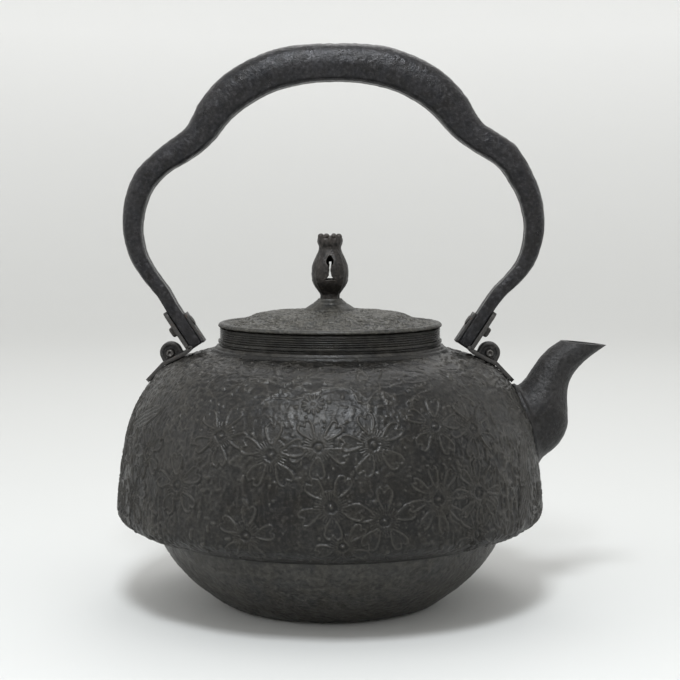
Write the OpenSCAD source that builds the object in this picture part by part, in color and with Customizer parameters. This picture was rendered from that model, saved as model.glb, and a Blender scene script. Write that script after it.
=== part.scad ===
// Cast iron water kettle with a bail handle, a lift-off lid and a pierced bud knob.
// Units are millimetres, +Z is up, the foot stands on Z = 0 and the spout points along +X.

/* [Body] */
// Widest diameter of the body, just above the hem
body_d = 180.6; // [168:0.2:218]
// Height from the table to the foot of the neck
body_h = 107; // [89:0.5:129]
// Height of the parting between the bowl and the upper body
hem_z = 34; // [29:0.5:38]
// Wall of the upper body
wall_t = 3.2; // [2.6:0.1:4.2]
// Thickness of the iron at the bottom of the bowl
floor_t = 3.6; // [2.8:0.1:4.6]
// Diameter of the flat the kettle stands on
foot_d = 86; // [76:1:90]

/* [Neck] */
// Outer diameter of the turned neck
neck_d = 92.8; // [77:0.2:99]
// Height of the neck above the shoulder
neck_h = 8.6; // [7.4:0.1:12]
// Thickness of the neck, from its rings to its bore
neck_wall = 5.4; // [4:0.1:7]
// How far the fine rings stand out from the neck
ring_t = 0.5; // [0.2:0.1:0.9]

/* [Lid] */
// How far the lid's rim stands out past the neck
lid_overhang = 0.8; // [0.2:0.1:1.4]
// Height of the lid's dome above the top of the neck
dome_h = 7.6; // [6:0.1:9.6]
// Depth of the locating flange inside the neck
flange_h = 5; // [3:0.1:8]
// Gap between the flange and the bore of the neck
flange_gap = 0.4; // [0.3:0.05:1]
// Thickness of the flange
flange_t = 2.2; // [1.6:0.1:3]

/* [Knob] */
// Widest diameter of the bud
knob_d = 16.4; // [13.5:0.1:19.6]
// Height of the bud from the lid's boss to the tip of its crown
knob_h = 27.6; // [23:0.1:33]
// Wall of the hollow bud
knob_wall = 1.5; // [1.1:0.1:1.8]
// Number of keyhole openings round the bud
knob_slots = 4; // [3:1:5]
// Diameter of the pin that holds the knob
knob_pin_d = 4; // [3:0.1:4.8]
// Radial gap round the knob's pin
pin_gap = 0.08; // [0.04:0.01:0.1]

/* [Spout] */
// Reach from the root of the spout to its tip
spout_reach = 33.8; // [29:0.2:41]
// Rise from the middle of the root to the lip
spout_rise = 35.4; // [30:0.2:42]
// Widest part of the spout, across the kettle
spout_w = 25; // [21:0.2:30]
// Wall of the spout
spout_wall = 2.4; // [1.8:0.1:2.8]

/* [Lugs] */
// Distance from the neck out to the lugs, on the shoulder
lug_out = 19.2; // [18:0.1:20.6]
// Radius of a lug's round head
lug_r = 4.7; // [4:0.1:5]
// Thickness of a lug
lug_t = 4.8; // [3.6:0.1:5.4]
// Diameter of the cross pin through a lug
lug_pin_d = 3.2; // [2.4:0.1:3.8]

/* [Straps] */
// Thickness of the bent straps
strap_t = 1.7; // [1.4:0.1:2.1]
// Width of the straps
strap_w = 11.6; // [9.8:0.1:13]
// Length of the leg that lies on the handle
strap_up = 20; // [17:0.2:24]
// Slope of that leg from the horizontal, in degrees
leg_angle = 57; // [54:0.5:61]
// Depth to which a strap is bedded on the shoulder beside its lug
strap_seat = 0.15; // [0.1:0.05:0.3]
// Gap between a strap's slot and its lug
slot_gap = 0.3; // [0.2:0.05:0.6]
// Size of the rivet's squarish head
rivet_head = 4.5; // [3.6:0.1:5.2]
// Diameter of the rivet's shank
rivet_d = 3; // [2.2:0.1:3.6]

/* [Handle] */
// Width over the sides of the handle
handle_d = 176.4; // [147:0.2:212]
// How far the hand-forged arch leans towards the spout
handle_shift = 1.5; // [-2:0.1:2]
// How far both shoulders of the bail lean towards the spout
handle_sway = 2.4; // [0:0.1:4]
// Rise of the crown towards the spout, per millimetre out
handle_tilt = 0.012; // [0:0.002:0.03]
// Rise of the handle from the neck's foot to its crown
handle_rise = 127; // [105:0.5:153]
// Width of the hollow bar at the crown, front to back
bar_w = 15.6; // [12.6:0.1:18.6]
// Sheet thickness of the hollow bar
bar_wall = 2; // [1.5:0.1:2.4]
// Thickness of the flattened legs
leg_t = 5.4; // [4.6:0.1:6.6]
// Gap left along the seam on the inner face
seam_gap = 0.7; // [0.4:0.1:1.2]

/* [Hidden] */
$fn = 96;
body_r = body_d / 2;
neck_r = neck_d / 2;
kr = body_r / 90.3;
neck_top = body_h + neck_h;
mouth_r = neck_r - neck_wall;

// Upper body, outside, from the foot of the neck to the hem: share of the way from
// the neck to the widest radius, and share of the way from the hem to the neck's foot.
shoulder = [[0.073, 0.997], [0.141, 0.985], [0.248, 0.97], [0.344, 0.951], [0.42, 0.933],
  [0.485, 0.913], [0.545, 0.89], [0.597, 0.864], [0.645, 0.833], [0.69, 0.798],
  [0.729, 0.761], [0.767, 0.727], [0.802, 0.691], [0.843, 0.637], [0.877, 0.579],
  [0.904, 0.52], [0.929, 0.455], [0.952, 0.37], [0.97, 0.288], [0.985, 0.205],
  [0.995, 0.145]];
function on_body(p) = [neck_r + p[0] * (body_r - neck_r), hem_z + p[1] * (body_h - hem_z)];
shoulder_line = [for (p = shoulder) on_body(p)];
hem_line = [[90.3 * kr, hem_z + 7], [89.6 * kr, hem_z + 4.6], [88 * kr, hem_z + 2.5],
  [85.6 * kr, hem_z + 0.8], [82.4 * kr, hem_z - 0.8], [79 * kr, hem_z - 2],
  [77 * kr, hem_z - 2.6]];

// Neck with its stack of fine rings.
function ring_pair(z, h) = [[neck_r - ring_t, z + h], [neck_r, z + h * 0.75],
  [neck_r, z + h * 0.25], [neck_r - ring_t, z]];
neck_line = concat([[neck_r, neck_top]], ring_pair(body_h + neck_h * 0.86, neck_h * 0.1),
  ring_pair(body_h + neck_h * 0.73, neck_h * 0.1), ring_pair(body_h + neck_h * 0.6, neck_h * 0.1),
  ring_pair(body_h + neck_h * 0.47, neck_h * 0.1),
  [[neck_r - ring_t, body_h + neck_h * 0.44], [neck_r + 0.7, body_h + neck_h * 0.42],
  [neck_r + 0.7, body_h + neck_h * 0.3], [neck_r - 0.1, body_h + neck_h * 0.27],
  [neck_r - 0.1, body_h + neck_h * 0.2], [neck_r + 1.4, body_h + neck_h * 0.16],
  [neck_r + 2.2, body_h + neck_h * 0.03]]);
outer_line = concat(neck_line, shoulder_line, hem_line);

// Bowl, outside, from the foot up to the parting.
bowl_line = [[foot_d / 2, 0], [foot_d / 2 + 1.9, 0.35], [foot_d / 2 + 4.2, 1.2],
  [foot_d / 2 + 6.8, 2.8], [52.6 * kr, hem_z * 0.15], [56 * kr, hem_z * 0.22],
  [59.2 * kr, hem_z * 0.305], [62.4 * kr, hem_z * 0.4], [65.6 * kr, hem_z * 0.51],
  [68.6 * kr, hem_z * 0.63], [71 * kr, hem_z * 0.75], [72.9 * kr, hem_z * 0.88],
  [74 * kr, hem_z]];
rim_in = 74 * kr - 4.2;
lip_r = 74 * kr + 0.4;

// Height and slope of the shoulder at a radius.
shoulder_keys = [for (p = shoulder_line) [p[0], p[1]]];
function top_z(r) = lookup(r, shoulder_keys);
function slope(r) = atan2(top_z(r + 2.5) - top_z(r - 2.5), 5);

lug_x = neck_r + lug_out;
lug_slope = slope(lug_x);
pin_r = lug_pin_d / 2;
lug_rise = strap_t + pin_r + 0.1;
lean = 90 - leg_angle;

// Line of the strap's lower leg in its own plane: it starts at the bend, touches the
// shoulder beside the lug, and turns down once past it.
touch_x = lug_x + 0.4;
touch_slope = slope(touch_x);
bend_x = lug_x - 7.9;
bend_z = top_z(touch_x) - strap_seat + tan(touch_slope) * (bend_x - touch_x);

// The rivet sits up the leg, as far as its head needs to clear the lug's round top.
rivet_tall = 2.4;
rivet_low = 11.2;
lug_top = [lug_x - sin(lug_slope) * lug_rise - bend_x,
  top_z(lug_x) + cos(lug_slope) * lug_rise - bend_z];
lug_s = lug_top[0] * cos(leg_angle) + lug_top[1] * sin(leg_angle);
lug_off = lug_top[0] * sin(leg_angle) - lug_top[1] * cos(leg_angle) - strap_t - rivet_tall;
rivet_clear = lug_r + 0.3;
rivet_s = max(rivet_low, lug_s + rivet_head / 2
  + sqrt(max(0, rivet_clear * rivet_clear - lug_off * lug_off)));
turn_x = lug_x + 4.4;
turn_z = bend_z + tan(touch_slope) * (turn_x - bend_x);
end_slope = slope(turn_x + 3.6);
end_x = lug_x + 11.4;
end_z = turn_z + tan(end_slope) * (end_x - turn_x);
lid_z = neck_top;
boss_z = lid_z + dome_h + 4.5;
web_z = lid_z + dome_h * 0.67;

function flat1(l) = [for (a = l) for (b = a) b];
function mix(a, b, t) = a + (b - a) * t;
function smooth(a, b, c, d, t) = 0.5 * (2 * b + (c - a) * t
  + (2 * a - 5 * b + 4 * c - d) * t * t + (3 * b - a - 3 * c + d) * t * t * t);
function at(l, i) = l[max(0, min(len(l) - 1, i))];
function refine(l, n) = concat([for (i = [0:len(l) - 2]) for (k = [0:n - 1])
  smooth(at(l, i - 1), l[i], l[i + 1], at(l, i + 2), k / n)], [l[len(l) - 1]]);
function skin(m, n, closed) = [for (i = [0:m - (closed ? 1 : 2)]) for (j = [0:n - 1])
  for (q = [0:1]) q == 0
    ? [i * n + j, i * n + (j + 1) % n, ((i + 1) % m) * n + (j + 1) % n]
    : [i * n + j, ((i + 1) % m) * n + (j + 1) % n, ((i + 1) % m) * n + j]];
function cap(i, n, flip) = [for (j = [0:n - 1]) i * n + (flip ? n - 1 - j : j)];

// Spout stations: upper edge x and z, lower edge x and z, share of the full width. The root
// keeps to the height of the side, and the free end to the spout's own rise.
spout_steps = [[-16, 13.4, -12, -18.5, 1], [-9, 14.6, 1.5, -17.6, 1],
  [-3.6, 16.4, 9.3, -12.9, 0.99], [-0.8, 18.8, 14.6, -8.0, 0.94],
  [1.1, 21.3, 17.6, -1.5, 0.85], [2.4, 23.5, 17.8, 5, 0.76], [3.9, 25.8, 17.5, 11.5, 0.68],
  [5.6, 28.1, 18.2, 17, 0.63], [7.7, 30.4, 20.2, 21.4, 0.59], [10, 32.5, 23.3, 25.2, 0.57],
  [12.3, 34.1, 27.3, 28.7, 0.55], [14.3, 35.4, 33.8, 33.4, 0.5]];
spout_rings = refine(spout_steps, 2);
spout_n = 28;
spout_x = body_r - 7.3;
spout_z = hem_z + 0.555 * (body_h - hem_z);
function spout_ring(s, t) =
  let (kx = spout_reach / 33.8, free = max(0, min(1, (s[0] + 3.6) / 10)),
    kh = mix((body_h - hem_z) / 73, spout_rise / 35.4, free),
    up = [s[0] * kx, s[1] * kh], low = [s[2] * kx, s[3] * kh],
    mid = (up + low) / 2, axis = (up - low) / norm(up - low),
    a = norm(up - low) / 2 - t, b = spout_w / 2 * s[4] - t)
  [for (j = [0:spout_n - 1]) let (u = 360 * j / spout_n)
    [spout_x + mid[0] + axis[0] * a * cos(u), b * sin(u), spout_z + mid[1] + axis[1] * a * cos(u)]];

// Handle stations on one side: outer edge x and z, inner edge x and z, share of the
// crown's width, flatness of the outer face. Heights count from the neck's foot.
handle_steps = [
  [73.6, 21.5, 68.4, 24.6, 0.71, 0.6], [78.4, 26.2, 72.6, 29.6, 0.72, 0.3],
  [82.8, 31.5, 76.2, 34.4, 0.73, 0.1], [86.1, 37, 78.7, 39.3, 0.74, 0],
  [88.4, 44.2, 80.1, 45, 0.75, 0], [89.3, 51.8, 80.5, 51.4, 0.76, 0],
  [88.6, 60.5, 79.1, 58.9, 0.78, 0], [86.5, 68, 76.8, 64.8, 0.8, 0],
  [83.4, 74.3, 73.7, 69.5, 0.82, 0], [79.1, 80, 69.8, 73.9, 0.84, 0],
  [73.6, 85.5, 64.3, 77.7, 0.86, 0], [67.5, 89.6, 57, 82.3, 0.88, 0],
  [62.6, 93.3, 51, 87.1, 0.9, 0], [60, 97, 47.2, 91.2, 0.92, 0],
  [56.2, 103.9, 43, 95.9, 0.95, 0], [48.7, 112.3, 37.8, 100.3, 0.98, 0],
  [40.6, 118.1, 32.9, 103.4, 1, 0], [31.8, 122.3, 26.9, 106.5, 1, 0],
  [22.4, 125.4, 19.2, 108.9, 1, 0], [11.4, 126.7, 10, 110.6, 1, 0], [0, 127, 0, 111.1, 1, 0]];
kx = handle_d / 177.6;
kh = handle_rise / 127;
function leg_point(s, out) = [bend_x + cos(leg_angle) * s + sin(leg_angle) * out,
  bend_z + sin(leg_angle) * s - cos(leg_angle) * out];
function leg_ring(s) = concat(leg_point(s, 0), leg_point(s, -leg_t), [0.69, 1]);
leg_dx = leg_point(strap_up, 0)[0] - 68.6;
function sway(h) = handle_shift * max(0, min(1, (h - 18) / 12))
  + handle_sway * exp(-(h - 86) * (h - 86) / 56);
function arch_x(x, h, side) = x * kx + side * sway(h) + leg_dx * max(0, 1 - (h - 16) / 40);
function arch_z(x, h, side) = body_h + h * kh
  + side * handle_tilt * x * max(0, min(1, (h - 85) / 15));
function arch_side(side) = [for (p = handle_steps)
  let (h = min(p[1], p[3] + 10))
  [arch_x(p[0], h, side), arch_z(p[0], p[1], side), arch_x(p[2], h, side),
    arch_z(p[2], p[3], side), p[4], p[5]]];
leg_side = [leg_ring(0.9), leg_ring(6), leg_ring(rivet_s + 3.4), leg_ring(strap_up)];
bar_right = concat(leg_side, refine(arch_side(1), 2));
bar_left = concat(leg_side, refine(arch_side(-1), 2));
bar_path = concat(bar_right, [for (i = [len(bar_left) - 2:-1:0])
  let (p = bar_left[i]) [-p[0], p[1], -p[2], p[3], p[4], p[5]]]);
// Half of the bar's cross-section, from the seam round to the middle of the outer face:
// height and half-width, first rounded, then flattened.
bar_round = [[-0.5, 0.66], [-0.36, 0.92], [-0.02, 1], [0.28, 0.84], [0.44, 0.5], [0.5, 0]];
bar_flat = [[-0.5, 0.8], [-0.44, 0.97], [-0.02, 1], [0.42, 0.96], [0.5, 0.8], [0.5, 0]];
bar_n = 26;
function bar_loop(t, w, s, q) =
  let (half = [for (i = [0:5]) mix(bar_round[i], bar_flat[i], q)])
  concat([[-t / 2, s]], [for (h = half) [h[0] * t, h[1] * w / 2]],
    [for (k = [4:-1:0]) [half[k][0] * t, -half[k][1] * w / 2]], [[-t / 2, -s]]);
function bar_ring(p) =
  let (o = [p[0], p[1]], i = [p[2], p[3]], mid = (o + i) / 2, t = norm(o - i),
    dir = (o - i) / t, w = bar_w * p[4], wall = mix(bar_wall, t / 2 - 0.5, p[5]),
    face = bar_loop(t, w, seam_gap / 2, p[5]),
    back = bar_loop(t - 2 * wall, w - 2 * wall, seam_gap / 2, p[5]),
    ring = concat(face, [for (k = [12:-1:0]) back[k]]))
  [for (c = ring) [mid[0] + dir[0] * c[0], c[1], mid[1] + dir[1] * c[0]]];
// The C-shaped end of the bar, strip by strip between its outer and its inner line.
function bar_end(i, flip) = [for (k = [0:11]) for (q = [0:1])
  let (a = i * bar_n + k, b = i * bar_n + k + 1, c = i * bar_n + 24 - k, d = i * bar_n + 25 - k,
    f = q == 0 ? [a, b, c] : [a, c, d])
  flip ? [f[2], f[1], f[0]] : f];

module body_outside() {
  rotate_extrude()
    polygon(concat([[0, neck_top]], outer_line, [[lip_r, hem_z - 2.2], [lip_r, hem_z], [0, hem_z]]));
}

module spout_skin(t, first) {
  rings = [for (i = [first:len(spout_rings) - 1]) spout_ring(spout_rings[i], t)];
  m = len(rings);
  polyhedron(flat1(rings), concat(skin(m, spout_n, false), [cap(0, spout_n, true)],
    [cap(m - 1, spout_n, false)]), convexity = 8);
}

// Upper casting: neck with turned rings, shoulder, flaring sides and overhanging hem.
module body_shell() {
  inner = [for (p = shoulder_line) [p[0] - wall_t * 0.55 - 0.5, p[1] - wall_t * 0.75]];
  color("dimgray")
    difference() {
      rotate_extrude()
        polygon(concat(outer_line, [[lip_r, hem_z - 2.2], [lip_r, hem_z], [rim_in, hem_z],
          [rim_in, hem_z + 1], [80 * kr, hem_z + 2.8], [85 * kr, hem_z + 6],
          [body_r - wall_t - 0.5, hem_z + 10.6]],
          [for (i = [len(inner) - 1:-1:3]) [min(inner[i][0] - 1.2, body_r - wall_t - 0.6), inner[i][1]]],
          [[mouth_r + 3, body_h - wall_t - 1], [mouth_r, body_h - 1],
          [mouth_r, neck_top]]));
      spout_skin(spout_wall, 0);
    }
}

// Lower casting: round bowl with a flat foot, set in under the hem.
module base_bowl() {
  color("gray")
    rotate_extrude()
      polygon(concat([[0, 0]], bowl_line, [[rim_in, hem_z], [67.4 * kr, hem_z * 0.74],
        [62.4 * kr, hem_z * 0.53], [56 * kr, hem_z * 0.36], [50 * kr, hem_z * 0.12 + floor_t],
        [44 * kr, floor_t + 1.3], [38 * kr, floor_t + 0.3], [0, floor_t]]));
}

// Hollow spout with a full belly, a narrow neck and an oblique beak, open at the mouth.
module spout() {
  outer = [for (s = spout_rings) spout_ring(s, 0)];
  inner = [for (i = [len(spout_rings) - 1:-1:0]) spout_ring(spout_rings[i], spout_wall)];
  rings = concat(outer, inner);
  color("slategray")
    difference() {
      polyhedron(flat1(rings), skin(len(rings), spout_n, true), convexity = 8);
      body_outside();
    }
}

module lug_shape() {
  translate([lug_x, 0, top_z(lug_x)])
    rotate([0, -lug_slope, 0])
      rotate([90, 0, 0])
        linear_extrude(lug_t, center = true) {
          translate([0, lug_rise])
            circle(lug_r);
          translate([-lug_r, -3])
            square([2 * lug_r, lug_rise + 3]);
        }
}

module pin_axis() {
  translate([lug_x, 0, top_z(lug_x)])
    rotate([0, -lug_slope, 0])
      translate([0, 0, lug_rise])
        rotate([90, 0, 0])
          children();
}

// Lug cast on the shoulder, round headed, with a cross hole.
module lug() {
  color("darkslategray")
    difference() {
      lug_shape();
      pin_axis() {
        cylinder(h = lug_t + 2, r = pin_r, center = true);
        for (side = [-1, 1])
          translate([0, 0, side * lug_t / 2])
            cylinder(h = 1, r = pin_r + 1.2, center = true);
      }
      body_outside();
    }
}

// Cross pin driven through the lug, over the strap.
module lug_pin() {
  color("silver")
    pin_axis() {
      cylinder(h = strap_w - 1.6, r = pin_r, center = true);
      translate([0, 0, strap_w / 2 - 0.8])
        cylinder(h = 0.4, r1 = pin_r, r2 = pin_r - 0.4);
      translate([0, 0, -strap_w / 2 + 0.4])
        cylinder(h = 0.4, r1 = pin_r - 0.4, r2 = pin_r);
    }
}

module on_leg(s) {
  translate([bend_x, 0, bend_z])
    rotate([0, lean, 0])
      translate([0, 0, s])
        children();
}

bend_out = strap_t + 0.8;
bend_half = (leg_angle - touch_slope) / 2;
bend_mid = (leg_angle + touch_slope) / 2;
bend_c = [bend_x + cos(bend_mid) * bend_out / sin(bend_half),
  bend_z + sin(bend_mid) * bend_out / sin(bend_half)];

function bend_arc(r, a, b) = [for (i = [0:8])
  let (q = mix(a, b, i / 8)) [bend_c[0] + r * cos(q), bend_c[1] + r * sin(q)]];
bend_first = leg_angle + 90;
bend_last = touch_slope + 270;
turn_mid = (touch_slope + end_slope) / 2;
turn_t = strap_t / cos((touch_slope - end_slope) / 2);
strap_line = concat([leg_point(strap_up, 0)], bend_arc(bend_out, bend_first, bend_last),
  [[turn_x, turn_z], [end_x, end_z],
  [end_x - sin(end_slope) * strap_t, end_z + cos(end_slope) * strap_t],
  [turn_x - sin(turn_mid) * turn_t, turn_z + cos(turn_mid) * turn_t]],
  bend_arc(bend_out - strap_t, bend_last, bend_first), [leg_point(strap_up, strap_t)]);

// Flat strap bent to an acute angle: one leg up the handle, one slotted over the lug.
module strap() {
  color("dimgray")
    difference() {
      rotate([90, 0, 0])
        linear_extrude(strap_w, center = true)
          polygon(strap_line);
      translate([lug_x, 0, top_z(lug_x)])
        rotate([0, -lug_slope, 0])
          translate([-lug_r - slot_gap, -lug_t / 2 - slot_gap, -3])
            cube([2 * (lug_r + slot_gap), lug_t + 2 * slot_gap, strap_t + 4.6]);
      on_leg(rivet_s)
        rotate([0, 90, 0])
          cylinder(h = 10, r = rivet_d / 2, center = true);
      body_outside();
    }
}

// Rivet through strap, leg and back plate, with a squarish proud head.
module strap_rivet() {
  color("silver")
    on_leg(rivet_s) {
      intersection() {
        translate([strap_t, -rivet_head / 2, -rivet_head / 2])
          cube([rivet_tall, rivet_head, rivet_head]);
        translate([strap_t - 1.2, 0, 0])
          sphere(r = rivet_head * 0.8);
      }
      translate([-leg_t - 1.2, 0, 0])
        rotate([0, 90, 0])
          cylinder(h = leg_t + 1.2 + strap_t + 0.2, r = rivet_d / 2);
      translate([-leg_t - 2, 0, 0])
        rotate([0, 90, 0])
          cylinder(h = 0.8, r1 = rivet_d / 2 + 0.2, r2 = rivet_d / 2 + 1);
    }
}

// Small plate that closes the open side of the hollow leg behind the rivet.
module back_plate() {
  color("gray")
    difference() {
      on_leg(0.7)
        translate([-leg_t - 1.2, -bar_w * 0.275, 0])
          cube([1.2, bar_w * 0.55, rivet_s + 3.4]);
      on_leg(rivet_s)
        rotate([0, 90, 0])
          cylinder(h = 30, r = rivet_d / 2, center = true);
    }
}

// Hollow bail folded from sheet, with its seam along the flat inner face.
module handle() {
  rings = [for (p = bar_path) bar_ring(p)];
  m = len(rings);
  color("darkslategray")
    difference() {
      polyhedron(flat1(rings), concat(skin(m, bar_n, false), bar_end(0, true),
        bar_end(m - 1, false)), convexity = 12);
      for (side = [0:1])
        mirror([side, 0, 0])
          on_leg(rivet_s)
            rotate([0, 90, 0])
              cylinder(h = 30, r = rivet_d / 2, center = true);
    }
}

// Lid: thin disc with a rolled rim, a low dome, a pointed boss and a flange below.
module lid() {
  r = neck_r + lid_overhang;
  f = mouth_r - flange_gap;
  color("dimgray")
    difference() {
      rotate_extrude()
        polygon([[0, boss_z], [4.9, boss_z], [5.3, boss_z - 0.5], [11.2, boss_z - 4.6],
          [r * 0.4, lid_z + dome_h * 0.955], [r * 0.57, lid_z + dome_h * 0.885],
          [r * 0.625, lid_z + dome_h * 0.82], [r * 0.745, lid_z + dome_h * 0.57],
          [r * 0.87, lid_z + dome_h * 0.29], [r - 3.5, lid_z + 1.7], [r - 2, lid_z + 2.3],
          [r - 0.8, lid_z + 2.2], [r, lid_z + 1.5], [r, lid_z + 0.5], [r - 0.5, lid_z], [f, lid_z],
          [f, lid_z - flange_h], [f - flange_t, lid_z - flange_h],
          [f - flange_t, lid_z + dome_h * 0.06], [f * 0.72, lid_z + dome_h * 0.5],
          [f * 0.46, lid_z + dome_h * 0.64], [8, web_z], [0, web_z]]);
      cylinder(h = 400, r = knob_pin_d / 2 + pin_gap);
    }
}

knob_z = boss_z;
knob_r = knob_d / 2;
bud_line = [[0.54, 0], [0.54, 0.06], [0.7, 0.13], [0.89, 0.21], [0.985, 0.29], [1, 0.37],
  [0.985, 0.47], [0.92, 0.555], [0.79, 0.635], [0.67, 0.7], [0.61, 0.75]];
bud_in = [[0.54, 0.1], [0.7, 0.16], [0.89, 0.225], [0.985, 0.3], [1, 0.37], [0.985, 0.465],
  [0.92, 0.54], [0.79, 0.615], [0.67, 0.69], [0.61, 0.75]];

// Pierced bud: hollow and round, with keyhole openings and a beaded crown.
module knob() {
  color("darkslategray") {
    difference() {
      rotate_extrude()
        polygon(concat([[knob_pin_d / 2, knob_z], [0.54 * knob_r, knob_z]],
          [for (p = bud_line) [p[0] * knob_r, knob_z + p[1] * knob_h]],
          [[0.61 * knob_r, knob_z + 0.78 * knob_h], [0.68 * knob_r, knob_z + 0.84 * knob_h],
          [0.68 * knob_r, knob_z + 0.9 * knob_h], [0.6 * knob_r, knob_z + 0.94 * knob_h],
          [0.3 * knob_r, knob_z + 0.955 * knob_h], [0.3 * knob_r, knob_z + 0.82 * knob_h]],
          [for (i = [9:-1:0]) [bud_in[i][0] * knob_r - knob_wall, knob_z + bud_in[i][1] * knob_h]],
          [[knob_pin_d / 2, knob_z + 0.09 * knob_h]]));
      for (i = [0:knob_slots - 1])
        rotate([0, 0, 360 / knob_slots * i - 90]) {
          translate([0, 0, knob_z + 0.58 * knob_h])
            rotate([0, 90, 0])
              cylinder(h = knob_d, r = 0.22 * knob_r);
          translate([0, -0.07 * knob_r, knob_z + 0.34 * knob_h])
            cube([knob_d, 0.14 * knob_r, 0.24 * knob_h]);
          translate([knob_pin_d / 2 + 0.6, 0, knob_z + 0.28 * knob_h])
            rotate([90, 0, 90])
              linear_extrude(knob_d)
                polygon([[-0.3 * knob_r, 0], [0.3 * knob_r, 0], [0, 0.13 * knob_h]]);
        }
    }
    for (i = [0:7])
      rotate([0, 0, 45 * i + 22.5])
        translate([0.5 * knob_r, 0, knob_z + 0.935 * knob_h])
          sphere(r = 0.065 * knob_h, $fn = 24);
  }
}

// Pin through the bud's stem and the lid, hammered over below.
module knob_pin() {
  low = web_z - 1;
  color("silver") {
    translate([0, 0, low - 0.1])
      cylinder(h = knob_z + 0.1 * knob_h - low + 0.1, r = knob_pin_d / 2);
    translate([0, 0, knob_z + 0.1 * knob_h])
      cylinder(h = 0.7, r1 = knob_pin_d / 2 + 0.45, r2 = knob_pin_d / 2 - 0.2);
    translate([0, 0, low - 1.3])
      cylinder(h = 1.2, r1 = knob_pin_d / 2 + 0.3, r2 = knob_pin_d / 2 + 1.3);
  }
}

// Washer under the lid, below the boss.
module knob_washer() {
  color("silver")
    difference() {
      translate([0, 0, web_z - 1])
        cylinder(h = 1, r = knob_pin_d / 2 + 3);
      translate([0, 0, web_z - 2])
        cylinder(h = 4, r = knob_pin_d / 2 + pin_gap);
    }
}

module both(side) {
  if (side == "right")
    children();
  else
    mirror([1, 0, 0])
      children();
}

body_shell();
base_bowl();
spout();
both("left") lug();  // lug_left
both("right") lug();  // lug_right
both("left") lug_pin();  // lug_pin_left
both("right") lug_pin();  // lug_pin_right
handle();
both("left") strap();  // strap_left
both("right") strap();  // strap_right
both("left") strap_rivet();  // strap_rivet_left
both("right") strap_rivet();  // strap_rivet_right
both("left") back_plate();  // back_plate_left
both("right") back_plate();  // back_plate_right
lid();
knob();
knob_pin();
knob_washer();
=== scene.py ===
import math

import bpy
import numpy as np
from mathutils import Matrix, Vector


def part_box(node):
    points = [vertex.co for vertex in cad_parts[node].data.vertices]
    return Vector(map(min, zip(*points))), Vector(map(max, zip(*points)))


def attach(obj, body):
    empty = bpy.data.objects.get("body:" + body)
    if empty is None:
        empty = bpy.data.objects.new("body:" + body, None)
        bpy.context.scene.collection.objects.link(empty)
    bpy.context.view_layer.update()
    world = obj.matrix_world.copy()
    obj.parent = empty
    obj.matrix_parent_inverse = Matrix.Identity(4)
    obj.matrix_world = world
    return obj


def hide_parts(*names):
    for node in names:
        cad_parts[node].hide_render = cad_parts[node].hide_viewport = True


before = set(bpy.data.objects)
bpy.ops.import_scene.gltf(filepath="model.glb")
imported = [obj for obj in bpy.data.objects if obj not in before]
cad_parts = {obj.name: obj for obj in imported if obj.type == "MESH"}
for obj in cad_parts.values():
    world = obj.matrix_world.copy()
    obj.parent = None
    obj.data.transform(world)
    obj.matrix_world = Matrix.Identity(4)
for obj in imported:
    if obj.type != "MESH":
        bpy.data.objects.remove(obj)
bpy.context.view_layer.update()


# ---- Bowl ---------------------------------------------------------------------------
# The lower half of the kettle, with its flat foot. It is cast iron poured in a sand
# mould, so its skin is an even fine grain. It meets the upper half up under the hem.

MM = 0.001


def box_mm(node):
    """Lowest and highest corner of a CAD node, in millimetres."""
    low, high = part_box(node)
    return np.array(low) / MM, np.array(high) / MM


def run_along(line):
    """Distance from the start to each point of a line."""
    return np.append(0, np.cumsum(np.linalg.norm(np.diff(line, axis=0), axis=1)))


def round_axis(a, r, z):
    """Points at angle a round the kettle's axis, r out from it and z up."""
    return np.column_stack([r * np.cos(a), r * np.sin(a), z])


def curve(points, step):
    """Points along a smooth curve through the given ones, about step millimetres apart."""
    p = np.asarray(points, float)
    if len(p) > 2:
        q = np.vstack([2 * p[0] - p[1], p, 2 * p[-1] - p[-2]])
        t = np.linspace(0, 1, 16, endpoint=False)[:, None]
        parts = [
            0.5 * (2 * b + (c - a) * t + (2 * a - 5 * b + 4 * c - d) * t ** 2
                   + (3 * b - a - 3 * c + d) * t ** 3)
            for a, b, c, d in zip(q, q[1:], q[2:], q[3:])
        ]
        p = np.vstack(parts + [p[-1:]])
    along = run_along(p)
    s = np.linspace(0, along[-1], max(2, int(round(along[-1] / step)) + 1))
    return np.column_stack([np.interp(s, along, p[:, k]) for k in range(p.shape[1])])


def outline(*runs):
    """A turned profile from (points, step) runs, each smooth, with corners between them."""
    parts = [curve(points, step) for points, step in runs]
    return np.vstack([parts[0]] + [part[1:] for part in parts[1:]])


def grain(p, size, seed):
    """Smooth random lumps about size millimetres across, from -1 to 1, at the points p."""
    q = np.asarray(p, float) / size
    cell = np.floor(q).astype(np.int64)
    f = q - cell
    f = f * f * (3 - 2 * f)
    total = np.zeros(len(q))
    for corner in np.ndindex(2, 2, 2):
        c = cell + corner
        h = (c[:, 0] * 374761393 + c[:, 1] * 668265263 + c[:, 2] * 912271 + seed * 97531) & 0xFFFFFFFF
        h = ((h ^ (h >> 13)) * 1274126177) & 0xFFFFFFFF
        h = (h ^ (h >> 16)) & 0xFFFF
        share = np.prod(np.where(corner, f, 1 - f), axis=1)
        total += (h / 32767.5 - 1) * share
    return total


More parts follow.
